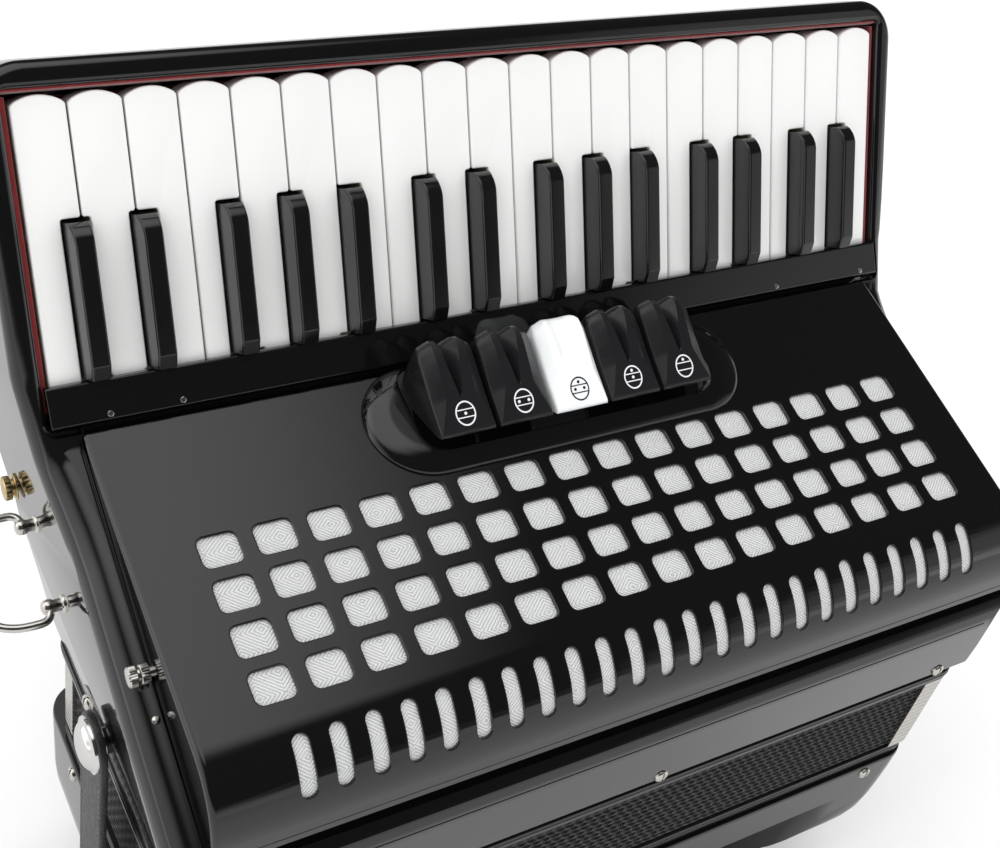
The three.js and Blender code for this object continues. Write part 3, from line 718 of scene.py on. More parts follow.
def tube(points, radius, sides):
    """Round bar along a line of points."""
    sections = []
    up = tangent(points, 0).orthogonal().normalized()
    for i, point in enumerate(points):
        along = tangent(points, i)
        up = (up - along * up.dot(along)).normalized()
        across = along.cross(up)
        sections.append([
            point + up * (radius * cos(2 * pi * j / sides))
            + across * (radius * sin(2 * pi * j / sides))
            for j in range(sides)
        ])
    return loft(sections)


def smooth_path(points, steps):
    """Catmull-Rom curve through points."""
    last = len(points) - 1
    path = []
    for i in range(last):
        before, start = points[max(i - 1, 0)], points[i]
        end, after = points[i + 1], points[min(i + 2, last)]
        for k in range(steps):
            t = k / steps
            path.append(0.5 * (
                (2 * start)
                + (end - before) * t
                + (2 * before - 5 * start + 4 * end - after) * t * t
                + (3 * start - before - 3 * end + after) * t ** 3
            ))
    return path + [points[-1]]


@contextmanager
def editing(mesh):
    edit = bmesh.new()
    edit.from_mesh(mesh)
    yield edit
    edit.to_mesh(mesh)
    edit.free()


def swap_mesh(obj, mesh):
    old = obj.data
    obj.data = mesh
    bpy.data.meshes.remove(old)


def drop(obj):
    mesh = obj.data
    bpy.data.objects.remove(obj)
    bpy.data.meshes.remove(mesh)


def cut(obj, tool, operation="DIFFERENCE"):
    """Apply a boolean and delete the tool."""
    modifier = obj.modifiers.new("cut", "BOOLEAN")
    modifier.operation = operation
    modifier.solver = "EXACT"
    modifier.object = tool
    bpy.context.view_layer.update()
    graph = bpy.context.evaluated_depsgraph_get()
    mesh = bpy.data.meshes.new_from_object(obj.evaluated_get(graph))
    obj.modifiers.clear()
    swap_mesh(obj, mesh)
    drop(tool)


def join(objs):
    """One object from several, keeping their materials."""
    merged = bmesh.new()
    materials = []
    for obj in objs:
        materials += [mat for mat in obj.data.materials if mat not in materials]
        start = len(merged.faces)
        merged.from_mesh(obj.data)
        merged.faces.ensure_lookup_table()
        table = [materials.index(mat) for mat in obj.data.materials]
        for face in merged.faces[start:]:
            face.material_index = table[face.material_index] if table else 0
    mesh = bpy.data.meshes.new("joined")
    merged.to_mesh(mesh)
    merged.free()
    for mat in materials:
        mesh.materials.append(mat)
    swap_mesh(objs[0], mesh)
    for obj in objs[1:]:
        drop(obj)
    return objs[0]


def tidy(obj, gap):
    """Merge close vertices and dissolve flat edges."""
    with editing(obj.data) as edit:
        bmesh.ops.remove_doubles(edit, verts=edit.verts, dist=gap)
        bmesh.ops.dissolve_limit(
            edit, angle_limit=radians(0.5), verts=edit.verts, edges=edit.edges
        )
    return obj


def paint(obj, material):
    obj.data.materials.clear()
    obj.data.materials.append(MATERIALS[material])
    return obj


def finish(obj, name, body, replaces=None, sharp=32.0, weighted=True):
    """Turn into metres, shade, name and register; edges above sharp degrees stay sharp."""
    mesh = obj.data
    mesh.transform(TO_METRES)
    obj.name = name
    mesh.name = name
    with editing(mesh) as edit:
        bmesh.ops.recalc_face_normals(edit, faces=edit.faces)
        edit.normal_update()
        for face in edit.faces:
            face.smooth = True
        for edge in edit.edges:
            two_faces = len(edge.link_faces) == 2
            edge.smooth = not (two_faces and edge.calc_face_angle(0) > radians(sharp))
    if weighted:
        modifier = obj.modifiers.new("wn", "WEIGHTED_NORMAL")
        modifier.keep_sharp = True
        modifier.weight = 70
    if replaces:
        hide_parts(replaces)
    if body:
        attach(obj, body)


def slot_screw(space, radius, height, turn):
    """Domed screw head with a slot turned by an angle in radians."""
    rows = [(0, -1.0), (radius, -1.0)]
    rows += [
        (radius * across, height * up)
        for across, up in ((1, 0.3), (0.95, 0.55), (0.78, 0.8), (0.5, 0.95), (0, 1))
    ]
    head = lathe(rows, 24, space)
    turned = Frame(
        space.x * cos(turn) + space.y * sin(turn),
        space.y * cos(turn) - space.x * sin(turn),
        space.z,
        space.origin,
    )
    half_length, half_width = radius * 1.2, radius * 0.13
    cut(head, block(
        -half_length, half_length, -half_width, half_width, height * 0.45, height + 2, turned
    ))
    return head


# ------------------------------------------------------------------ keys
WHITE_KEYS = 20
KEY_PITCH, KEY_GAP = 19.5, 0.8
BLACK_GAPS = [1, 2, 4, 5, 6, 8, 9, 11, 12, 13, 15, 16, 18, 19]  # white key to the left of each
BLACK_SHIFT = dict(zip(BLACK_GAPS, [-2.2, 2.5, -4.5, 0, 4.7] * 3))
NOTCH_HALF = 5.3  # half the room left for a black key
NOTCH_END = 57.5  # where the white keys widen
WHITE_SHOULDER = 96.8  # where the rounded tip starts
HINGE_Y, HINGE_Z = KEYS.side(-18, -8)
PALLET_FOOT = -94.65


def fanned(x, y):
    """x of a lever at y; levers draw together away from the hinge"""
    return x * (1 + 0.045 * (y - HINGE_Y) / 115)


def lever(x, end_y):
    end_z = PALLET_FOOT + 6
    outline = [
        (HINGE_Y + 3, HINGE_Z - 3), (HINGE_Y + 2, HINGE_Z + 3), (HINGE_Y - 6, HINGE_Z + 1),
        (end_y - 4, end_z + 7), (end_y - 4, end_z - 0.5), (end_y + 6, end_z - 0.5),
    ]
    obj = rounded_prism(round_poly(outline, 1.0, 2), -1.5, 1.5, YZ, top=0.4, bottom=0.4, steps=1)
    for vert in obj.data.vertices:
        vert.co.x += fanned(x, vert.co.y)
    return paint(obj, "keywood")


def pallet(x, width, y):
    middle = fanned(x, y)
    plan = round_rect(middle - width / 2, middle + width / 2, y - 15, y + 15, 1.2, 2)
    layers = ((2.6, 6, 0.5, "keywood"), (0.9, 2.6, 0, "palletfelt"), (0.05, 0.9, 0, "leather_edge"))
    return [
        paint(rounded_prism(plan, PALLET_FOOT + low, PALLET_FOOT + high, top=top), material)
        for low, high, top, material in layers
    ]


def key_action(x, half, root_end, root_low, root_high, pallet_width, pallet_y):
    """The root under a key, its hub on the axle, its lever and its pallet."""
    root = block(x - half, x + half, -19, root_end, root_low, root_high, KEYS)
    hub_rows = [(2.0, -half), (4.6, -half), (4.8, 0.3 - half)]
    hub_rows += [(4.8, half - 0.3), (4.6, half), (2.0, half)]
    parts = [
        paint(root, "keywood"),
        paint(lathe(hub_rows, 20, YZ.at(HINGE_Y, HINGE_Z, x)), "keywood"),
        lever(x, pallet_y),
    ]
    return parts + pallet(x, pallet_width, pallet_y)


def white_key(i):
    pitch_left = (i - 11) * KEY_PITCH
    pitch_right = pitch_left + KEY_PITCH
    wide_left = pitch_left + KEY_GAP / 2
    wide_right = wide_left + KEY_PITCH - KEY_GAP
    middle = (wide_left + wide_right) / 2
    left = back_left = wide_left
    right = back_right = wide_right
    if i - 1 in BLACK_SHIFT:
        left = pitch_left + BLACK_SHIFT[i - 1] + NOTCH_HALF
        if abs(left - wide_left) < 0.7:
            left = wide_left
        back_left = max(left, pitch_left + 3.6)
    if i in BLACK_SHIFT:
        right = pitch_right + BLACK_SHIFT[i] - NOTCH_HALF
        if abs(right - wide_right) < 0.7:
            right = wide_right
        back_right = min(right, pitch_right - 3.6)

    plan = [(back_left, -3), (back_right, -3)]
    if back_right < right:
        plan += [(back_right, 0.3), (right, 0.3)]
    plan += [(right, NOTCH_END), (wide_right, NOTCH_END), (wide_right, WHITE_SHOULDER)]
    plan += arc(middle, 84, 16, 55, 125, 14)[1:-1]
    plan += [(wide_left, WHITE_SHOULDER), (wide_left, NOTCH_END), (left, NOTCH_END)]
    if back_left > left:
        plan += [(left, 0.3), (back_left, 0.3)]
    corner_radii = {WHITE_SHOULDER: 2.4, NOTCH_END: 0.9}
    pts = ccw(round_poly(plan, lambda point: corner_radii.get(point[1], 0.0), 5))

    # (height, inset): a wooden base under a cap with a rounded top edge
    rings = [(-12.0, 0.7), (-11.5, 0.25), (-2.5, 0.25), (-2.5, 0.0)]
    edge_radius = 0.75
    for k in range(4, -1, -1):
        depth = round_depth(edge_radius, k, 4)
        rings.append((-depth, round_inset(edge_radius, depth)))
    key = ring_solid(pts, rings, KEYS)
    key.data.materials.append(MATERIALS["white"])
    key.data.materials.append(MATERIALS["keywood"])
    # the base is wood (1), except on the tip
    wooden = [
        int((here[1] + ahead[1]) / 2 <= 95.5) for here, ahead in zip(pts, pts[1:] + pts[:1])
    ]
    white_walls = [0] * (len(rings) - 3) * len(pts)
    key.data.polygons.foreach_set("material_index", [1] + wooden * 2 + white_walls + [0])
    key = join([key] + key_action(middle, 4, 0, -11.5, -3, 14, -115))
    name = "white_key_%02d" % i
    finish(key, name + "_finished", name + "_body", name, weighted=False)


# (along, height, half width of the top, narrowing of the sides, chamfer)
BLACK_SECTIONS = [
    (0.5, 7.3, 3.0, 0.0, 0.7),
    (6.0, 9.5, 3.0, 0.0, 0.7),
    (49.6, 9.5, 2.9, 0.0, 0.7),
    (51.6, 8.9, 2.95, 0.0, 0.7),
    (53.6, 7.7, 3.0, 0.05, 0.7),
    (55.5, 5.6, 3.2, 0.15, 0.7),
    (56.5, 3.4, 3.4, 0.3, 0.5),
]


def black_key(number, gap):
    lever_x = (gap - 10) * KEY_PITCH
    key_x = lever_x + BLACK_SHIFT[gap]
    sections = []
    for along, height, top_half, narrowing, chamfer in BLACK_SECTIONS:
        half = [
            (4.7 - narrowing, -11), (4.7 - narrowing, 0.8),
            (top_half + 0.55, height - chamfer), (top_half, height),
        ]
        outline = half + [(-across, out) for across, out in reversed(half)]
        sections.append([KEYS(key_x + across, along, out) for across, out in outline])
    key = loft(sections)
    with editing(key.data) as edit:
        bmesh.ops.recalc_face_normals(edit, faces=edit.faces)
        edges = [
            edge for edge in edit.edges
            if len(edge.link_faces) == 2 and edge.calc_face_angle(0) > radians(20.0)
        ]
        bmesh.ops.bevel(
            edit, geom=edges, offset=0.4, offset_type="OFFSET", segments=3, profile=0.5,
            affect="EDGES", clamp_overlap=True,
        )
    paint(key, "ebony")
    key = join([key] + key_action(lever_x, 3, 1.2, -11, -3.5, 12, -75))
    name = "black_key_%02d" % number
    finish(key, name + "_finished", name + "_body", name, sharp=40)


for i in range(1, WHITE_KEYS + 1):
    white_key(i)
for i, gap in enumerate(BLACK_GAPS):
    black_key(i + 1, gap)

# felt past the tips and ends of the row of keys, and under it
tip_outline = [(102.35, 0.3), (101.7, 0.3), (100.7, -3.6), (100.7, -18.6), (102.35, -18.6)]
tip_felt = prism(tip_outline, -197.3, 197.3, KEYS_SIDE)
finish(paint(tip_felt, "felt"), "key_tip_felt", "treble_side")
for name, plan, low, high in (
    ("key_end_felt_left", round_rect(-197.4, -195.6, -10, 100, 0.4, 2), -18.6, -1.6),
    ("key_end_felt_right", round_rect(195.6, 197.4, -10, 100, 0.4, 2), -18.6, -1.6),
    ("key_bed_felt", round_rect(-196, 196, -34, 98, 2, 3), -18.95, -17.6),
):
    strip = rounded_prism(plan, low, high, KEYS, top=0.3)
    finish(paint(strip, "felt"), name, "treble_side")

# ------------------------------------------------------------------ treble casing
TOP_FRONT, TOP_BACK = (-152, -80), (-17, -17)  # (y, z) ends of the sloping top
TOP_SLOPE = (TOP_BACK[1] - TOP_FRONT[1]) / (TOP_BACK[0] - TOP_FRONT[0])
CASE_HALF = 200.0  # half width at the front
SHOULDER_FLARE = 6.53  # how much wider each side is where the keys start
WING_START, WING_HALF, WING_CORNER = 0.6, 207, 18
WING_LOW, WING_LENGTH = 5, 88.6  # the straight sides of the wings
RIM_HEIGHT = 2.4  # rim round the keys, out of the key frame
SHOULDER = KEYS.side(WING_START, RIM_HEIGHT)

# (y, z) corners of the section, each with its radius
CASE_SECTION = {
    (CASE_FRONT, CASE_FOOT): 0, (10, CASE_FOOT): 0,
    (12, -112): 14, (20, -94): 14, (36, -80): 16, (50, -66): 16, (58, -46): 18,
    (65, 0): 30, (70, 80): 20, (68.5, 90): 8,
    KEYS.side(111, -17): 8, KEYS.side(112.4, -6): 0, KEYS.side(112.4, 9): 0,
    KEYS.side(WING_START, 9): 0, SHOULDER: 0,
    TOP_BACK: 0, TOP_FRONT: 0,
    (-152, -89): 0, (-155, -89): 1.2, (-158.6, -91.6): 4, (CASE_FRONT, -96): 5,
}


def top_at(y):
    """z of the sloping top"""
    return TOP_FRONT[1] + TOP_SLOPE * (y - TOP_FRONT[0])


wing_high = WING_LOW + WING_LENGTH
wing_steps = [WING_LENGTH * k / 6 for k in range(1, 6)]
shoulder_half = CASE_HALF + SHOULDER_FLARE
wing_edge = (
    [(shoulder_half, WING_START), (WING_HALF, WING_LOW)]
    + [(WING_HALF, WING_LOW + step) for step in wing_steps]
    + arc(WING_HALF - WING_CORNER, wing_high, WING_CORNER, 0, 90, 14)
    + arc(WING_CORNER - WING_HALF, wing_high, WING_CORNER, 90, 180, 14)
    + [(-WING_HALF, wing_high - step) for step in wing_steps]
    + [(-WING_HALF, WING_LOW), (-shoulder_half, WING_START)]
)
plan_on_keys = (
    [(-CASE_HALF, -260), (CASE_HALF, -260), (CASE_HALF, -60)] + wing_edge + [(-CASE_HALF, -60)]
)
plan_from_above = (
    arc(-182, -142, 18, 180, 270, 12)
    + arc(182, -142, 18, 270, 360, 12)
    + [(200, -90), (209, -80), (209, 90), (-209, 90), (-209, -80), (-200, -90)]
)

slope_along = Vector((0, TOP_BACK[0] - TOP_FRONT[0], TOP_BACK[1] - TOP_FRONT[1])).normalized()
slope_out = square_to(slope_along)
shoulder_out = square_to(
    Vector((0, SHOULDER[0] - TOP_BACK[0], SHOULDER[1] - TOP_BACK[1])).normalized()
)


def edge_section(edge, sideways, out, radius):
    """Section of the cutter that rounds an edge passing through the point edge."""
    outline = [(-radius - 1, 5.6), (-radius - 1, 0.5), (-radius, 0.002)]
    outline += [
        (-radius + radius * sin(radians(angle)), -radius + radius * cos(radians(angle)))
        for angle in range(10, 91, 10)
    ]
    outline += [(5, -radius), (5, 5.6)]
    return [edge + sideways * across + out * up for across, up in outline]


def slope_at(back):
    """Point on the sloping top, back millimetres before its rear end."""
    return Vector((0, *TOP_BACK)) - slope_along * back


def wall_at(edge, out, radius):
    """Half width of the side wall where the rounding of its top edge runs out."""
    along = (edge - out * radius).dot(KEY_ALONG)
    return CASE_HALF + SHOULDER_FLARE * min(max((along + 60) / 60.6, 0.0), 1.0)


def edge_cutter():
    """Rounds the top edge up the left slope, round the wings and down the right slope."""
    # (distance before the end of the slope, radius)
    slope_radii = (
        (190, 12.0), (110, 12.0), (75, 12.0), (60, 12.0), (45, 12.0), (30, 11.9), (14.2, 11.5),
        (5, 10.6),
    )
    rows = [(slope_at(back), slope_out, radius) for back, radius in slope_radii]
    rows.append((slope_at(0), (slope_out + shoulder_out).normalized(), 9.6))
    rows.append((Vector((0, *KEYS.side(-11, 4.9))), shoulder_out, 8.2))
    path = [(edge, out, wall_at(edge, out, radius), radius) for edge, out, radius in rows]
    path.append(
        (Vector((0, *SHOULDER)), (shoulder_out + KEY_OUT).normalized(), shoulder_half, 7.0)
    )
    sections = [edge_section(edge + X * half, X, out, size) for edge, out, half, size in path]
    # the wing edge without its two end points
    outside = offset_poly(plan_on_keys, -1.0)
    for point, beyond in list(zip(plan_on_keys, outside))[4:-2]:
        sideways = X * (beyond[0] - point[0]) + KEY_ALONG * (beyond[1] - point[1])
        radius = 5.0
        if point[1] < 90:
            radius += 1.8 * exp(-((point[1] - 5) / 22.0))
        sections.append(edge_section(KEYS(*point, RIM_HEIGHT), sideways, KEY_OUT, radius))
    sections += [
        edge_section(edge - X * half, -X, out, size) for edge, out, half, size in reversed(path)
    ]
    cutter = loft(sections)
    with editing(cutter.data) as edit:
        bmesh.ops.recalc_face_normals(edit, faces=edit.faces)
    return cutter


casing = prism(round_poly(CASE_SECTION, CASE_SECTION.get, 6), -209, 209, YZ)
cut(casing, prism(plan_on_keys, -230, 200, KEYS), "INTERSECT")
cut(casing, prism(plan_from_above, -260, 260), "INTERSECT")
cut(casing, block(-230, 230, WING_START, 140, RIM_HEIGHT, 40, KEYS))
cut(casing, edge_cutter())
# the well of the keys, and the room at their hinge end
key_well = round_rect(-197.6, 197.6, -15.5, 102.5, 2.2, 5)
cut(casing, flare(key_well, -19, RIM_HEIGHT, 2.3, KEYS, rise=60, steps=5))
hinge_room = [(-38, -19), (-14, -19), (-14, 1.0), (-24, 3.2), (-38, 12.5)]
cut(casing, prism(hinge_room, -189.5, 189.5, KEYS_SIDE))
cut(casing, block(-38, -15, -19, -6.5, -197.5, 197.5, KEYS_SIDE))
# the hollow under the grille cover
cover_room = [(-146, -101.5), (-1, -101.5), (-1, -40), (-12, 10), (-146, 10)]
cut(casing, prism(cover_room, -186, 186, YZ))
# the hollow behind the keys, open towards the bellows
back_room = [
    (-146, -150), (2, -150), (4, -112), (14, -92), (32, -77), (46, -62), (53, -45), (60, 0),
    (61, 56), KEYS.side(74, -23.5), KEYS.side(-34, -23.5), (4.6, -101.5), (4.6, -108),
    (-146, -108),
]
cut(casing, prism(back_room, -186, 186, YZ))
# opening between the two hollows
cut(casing, block(-138, -8, -120, -90, -178, 178, YZ))
# bore of the key axle
cut(casing, prism(circle(HINGE_Y, HINGE_Z, 1.9, 16), -200.4, 200.4, YZ))
# fine groove along the front
cut(casing, block(-161, -159.3, -98.4, -97.6, -180, 180, YZ))
# the walls draw in a little towards the bellows, and stop short of its frame
front_draw = [(CASE_FRONT, -101), (-155.4, -139), (-155.4, -150), (-175, -150), (-175, -101)]
cut(casing, prism(front_draw, -230, 230, YZ))
for side, foot_x in ((-1, -191.3), (1, 198.4)):
    side_draw = [
        (side * 200, -88), (foot_x, -139), (foot_x, -150), (side * 225, -150), (side * 225, -88)
    ]
    cut(casing, prism(side_draw, -60, 190, XZ))
cut(casing, block(-230, 230, -170, -150.5, -141, -136.1))
finish(
    paint(tidy(casing, 1e-3), "lacquer"), "treble_casing_finished", "treble_side",
    "treble_casing", sharp=28,
)

# ------------------------------------------------------------------ grille cover
COVER_HALF = 188
COVER_FRONT, COVER_BEND, COVER_WALL, COVER_FOOT = -156.0, 30.0, 2.5, -81.0
COVER_LIFT = 0.45  # gap over the sloping top of the casing
WINDOW_PITCH_X, WINDOW_PITCH_Y = 20.8, 17.58
SLOT_PITCH, SLOT_RADIUS = 13.37, 3
# the cover is flat down to the bend, then turns into its upright front
bend_along = (COVER_FRONT - FIRST_ROW.y) / COVER_ALONG.y + COVER_BEND * tan(COVER_TILT / 2)
BEND_CENTRE = Vector((0, *COVER.side(bend_along, 0))) - COVER_OUT * COVER_BEND
BEND_LENGTH = COVER_BEND * COVER_TILT
BEND_START = -bend_along
BEND_ANGLE = pi - COVER_TILT  # angle about the bend's centre at its start


def cover_point(down, out=0.0):
    """(y, z) on the cover, down from the first row of windows over its skin, out from it"""
    if down <= BEND_START:
        return COVER.side(-down, out)
    if down <= BEND_START + BEND_LENGTH:
        angle = BEND_ANGLE + (down - BEND_START) / COVER_BEND
        reach = COVER_BEND + out
        return (BEND_CENTRE.y + reach * cos(angle), BEND_CENTRE.z + reach * sin(angle))
    return (COVER_FRONT - out, BEND_CENTRE.z - (down - BEND_START - BEND_LENGTH))


class Skin(Frame):
    """Local x across the cover, y down over its skin, z out of it."""

    def __call__(self, x, down, out):
        return Vector((x, *cover_point(down, out)))


SKIN = Skin(X, -Y, Z)


def bend_points(out):
    return [cover_point(BEND_START + BEND_LENGTH * k / 20, out) for k in range(21)]


def cover_radius(middle):
    """Outer edges are rounded; those along the foot and over the casing's top are sharp."""
    y, z = middle
    sharp = z < COVER_FOOT + 0.6 or abs(z - (top_at(y) + COVER_LIFT)) < 0.6
    return 0.0 if sharp else 2.6


def slot_end(angle):
    """Distance down the skin at an angle about the bend's centre."""
    return BEND_START + COVER_BEND * (angle - BEND_ANGLE)


back_corner = COVER.side(59, 0)
cover_outline = [back_corner] + bend_points(0.0) + [
    (COVER_FRONT, COVER_FOOT),
    (COVER_FRONT + 1.2, COVER_FOOT),
    (COVER_FRONT + 1.2, top_at(-154) + COVER_LIFT),
    (-16.8, top_at(-16.8) + COVER_LIFT),
]
cover_outline = round_poly(cover_outline, lambda point: 2.2 if point == back_corner else 0, 5)
cover = rounded_prism(
    cover_outline, -COVER_HALF, COVER_HALF, YZ, top=cover_radius, bottom=cover_radius, steps=5
)
back_inside = COVER.side(56.4, -COVER_WALL)
cover_inside = [back_inside, COVER.side(16.5, -COVER_WALL), COVER.side(15, -1.1)]
cover_inside += bend_points(-1.1)
cover_inside += [
    (COVER_FRONT + 1.1, -77), (COVER_FRONT + COVER_WALL, -78.5),
    (COVER_FRONT + COVER_WALL, -110), (20, -110), (back_inside[0], -60),
]
cut(cover, prism(cover_inside, -COVER_HALF + COVER_WALL, COVER_HALF - COVER_WALL, YZ))
openings = []
for i in range(4):
    for j in range(16):
        x = (j - 7.5) * WINDOW_PITCH_X
        y = i * WINDOW_PITCH_Y
        window = round_rect(x - 7.4, x + 7.4, y - 6.1, y + 6.1, 2.9, 5)
        openings.append(flare(window, -6, 0.0, 0.55, SKIN))
# slots round the bend, from y = -139 to z = -61.5
slot_top = slot_end(acos((-139 - BEND_CENTRE.y) / COVER_BEND)) + SLOT_RADIUS
slot_foot = slot_end(pi - asin((-61.5 - BEND_CENTRE.z) / COVER_BEND)) - SLOT_RADIUS
for i in range(24):
    x = (i - 11.5) * SLOT_PITCH
    outline = capsule(x, slot_top, slot_foot, SLOT_RADIUS, 8, 12)
    openings.append(flare(outline, -6, 0.0, 0.5, SKIN))
cut(cover, join(openings))
finish(
    paint(cover, "lacquer"), "grille_cover_finished", "treble_side", "grille_cover",
    sharp=30,
)

seam = block(
    -185.4, 185.4, COVER_FRONT - 0.04, COVER_FRONT + 0.4, COVER_FOOT + 3.1, COVER_FOOT + 3.65
)
finish(paint(seam, "inside"), "cover_seam", "treble_side", sharp=30)

# raised ring round the registers; rings are (height, inset)
bezel_plan = ccw(arc(66, 33, 25, -90, 90, 28) + arc(-61.4, 33, 25, 90, 270, 28))
bezel_rings = [
    (-1, 0.0), (0.3, 0.0), (1.0, 0.25), (1.8, 0.9), (2.7, 2.3), (3.6, 4.4), (4.35, 6.6),
    (4.8, 8.4), (5.0, 10.6),
]
bezel = ring_solid(bezel_plan, bezel_rings, COVER)
bezel_hole = round_rect(-66.4, 69.4, 17.0, 57.6, 10, 8)
cut(bezel, flare(bezel_hole, 0.4, 5.0, 3.0, COVER, rise=8, steps=6))
finish(paint(bezel, "lacquer"), "register_bezel", "treble_side", sharp=30)


# cloth behind the windows
def cloth_sheet():
    """Rippled sheet inside the cover, with a UV map in millimetres across and down."""
    outside, thickness = -1.45, 0.7
    columns = [-184.9 + 369.8 * k / 60 for k in range(61)]
    rows = [-14 + (BEND_START + 14) * k / 30 for k in range(31)]
    rows += [BEND_START + BEND_LENGTH * k / 14 for k in range(1, 15)]
    rows.append(BEND_START + BEND_LENGTH + 3.5)
    grid = [(x, down) for down in rows for x in columns]
    verts = [
        SKIN(x, down, outside + 0.16 * sin(x * 0.9) * sin(down * 0.8)) for x, down in grid
    ]
    verts += [SKIN(x, down, outside - thickness) for x, down in grid]
    faces = shell_faces(len(rows), len(columns))
    # wound the other way, each face from the same corner
    obj = mesh_object(verts, [face[:1] + face[:0:-1] for face in faces])
    layer = obj.data.uv_layers.new(name="UVMap")
    loop_verts = np.empty(len(obj.data.loops), dtype=np.int32)
    obj.data.loops.foreach_get("vertex_index", loop_verts)
    layer.data.foreach_set("uv", np.array(grid * 2, dtype=np.float32)[loop_verts].ravel())
    return obj


finish(
    paint(cloth_sheet(), "cloth"), "grille_cloth_woven", "treble_side",
    "grille_cloth", sharp=40, weighted=False,
)

# ------------------------------------------------------------------ fallboard and its screws
# (along, out) corners in the key frame, each with its radius
FALLBOARD_SECTION = {
    (0.1, 0.7): 0.5, (0.1, 4.3): 1.1, (-14.7, 6.9): 1.1, (-14.7, 4.4): 0.5, (-6, 0.7): 0.5
}
fallboard = rounded_prism(
    round_poly(FALLBOARD_SECTION, FALLBOARD_SECTION.get, 5), -197.25, 197.25, KEYS_SIDE,
    top=0.5, bottom=0.5,
)
finish(
    paint(fallboard, "lacquer"), "fallboard_finished", "treble_side", "fallboard"
)
skirt_section = [(-12.9, -10.35), (-11.3, -11.0), (-11.4, -19.8), (-12.9, -19.8)]
skirt = rounded_prism(skirt_section, -187, 187, YZ)
finish(paint(skirt, "lacquer"), "action_skirt", "treble_side", sharp=30)
fall_along = (KEY_ALONG * -13.7 + KEY_OUT * 2.9).normalized()
fall_out = -square_to(fall_along)
screws = [
    slot_screw(Frame(X, fall_along, fall_out, KEYS(x, -12.2, 6.42)), 1.2, 0.35, 0.3 + x * 0.01)
    for x in (-176, -149, 135, 187)
]
finish(paint(join(screws), "steel"), "fallboard_screws", "treble_side", sharp=35)

# ------------------------------------------------------------------ register tabs
TAB_PITCH, TAB_HALF = 26.1, 12.0
TAB_START = 17
# each table is (distances along the cover, values there)
TAB_RIDGE = (
    [17, 30, 37, 44, 47.5, 49.8, 51.6, 53.2, 54.6, 55.6, 56.1],
    [12.8, 18.8, 22.0, 24.9, 25.7, 25.9, 25.4, 24.2, 22.0, 19.0, 16.0],
)
TAB_EDGE = (
    [17, 30, 45, 48.5, 51, 53.2, 54.8, 56.1],
    [12.6, 15.9, 20.6, 21.7, 21.9, 20.6, 18.6, 14.5],
)
TAB_UNDER = ([17, 19, 26, 39, 56.1], [11.4, 9.6, 6.0, 0.5, 0.5])
# half widths of the ridge and of the hollow in it, the hollow's depth and how steep its sides are
WHITE_TAB = {
    "ridge_half": ([17, 30, 50, 56.1], [11.6, 8.6, 8.4, 5.0]),
    "hollow_half": ([17, 29.6, 50, 56.1], [0.5, 4.4, 6.2, 3.6]),
    "hollow_depth": ([30, 38, 51, 56], [0.0, 0.9, 0.9, 0.0]),
    "steepness": 3,
}
BLACK_TAB = {
    "ridge_half": ([17, 30, 50, 56.1], [11.6, 6.4, 6.6, 5.0]),
    "hollow_half": ([17, 29.6, 50, 56.1], [0.35, 0.5, 4.6, 3.4]),
    "hollow_depth": ([29.6, 32, 40, 50, 56.1], [0.0, 3.4, 5.2, 5.2, 3.6]),
    "steepness": 1,
}
TAB_STATIONS = (
    [17, 17.12, 17.4, 17.9]
    + [18.6 + (29.6 - 18.6) * k / 10 for k in range(11)]
    + [29.6 + (49.8 - 29.6) * k / 20 for k in range(1, 21)]
    + [50.4, 51, 51.6, 52.2, 52.8, 53.4, 54, 54.5, 55, 55.4, 55.7, 55.9, 56.05]
)
# (across, up) of the dots in each tab's mark
MARK_DOTS = [
    [(0, 0)],
    [(-2.2, 0), (2.2, 0)],
    [(-2.1, 0), (2.1, 0), (0, 2.5)],
    [(0, 2.5), (0, 0)],
    [(0, 2.5)],
]


def look_up(along, table):
    return float(np.interp(along, *table))


def tab_half(along):
    if along < 46.5:
        return TAB_HALF
    share = min(1.0, (along - 46.5) / 9.9)
    return TAB_HALF - 7.0 * (1 - sqrt(max(0.0, 1 - share * share)))


def tab_row(along, shape):
    """(across, out) points over a tab from its left edge to its right."""
    half = tab_half(along)
    ridge, edge = look_up(along, TAB_RIDGE), look_up(along, TAB_EDGE)
    ridge_half = min(look_up(along, shape["ridge_half"]), half - 0.7)
    hollow_half = min(look_up(along, shape["hollow_half"]), ridge_half - 0.4)
    depth = look_up(along, shape["hollow_depth"])
    row = []
    edge_radius = 0.7
    for k in range(6):
        angle = radians(90 * k / 5)
        inward = edge_radius * (1 - cos(angle))
        rise = (ridge - edge) * inward / max(0.5, half - ridge_half)
        row.append((-half + inward, edge - edge_radius * (1 - sin(angle)) + rise))
    across, out = row[-1]
    for k in range(1, 6):
        row.append((across + (-ridge_half - across) * k / 5, out + (ridge - out) * k / 5))
    for k in range(1, 5):
        row.append((-ridge_half + (ridge_half - hollow_half) * k / 4, ridge))
    for k in range(1, 6):
        share = min(1.0, k / 5 * shape["steepness"])
        row.append((-hollow_half * (1 - k / 5), ridge - depth * share))
    return row + [(-across, out) for across, out in reversed(row[:-1])]


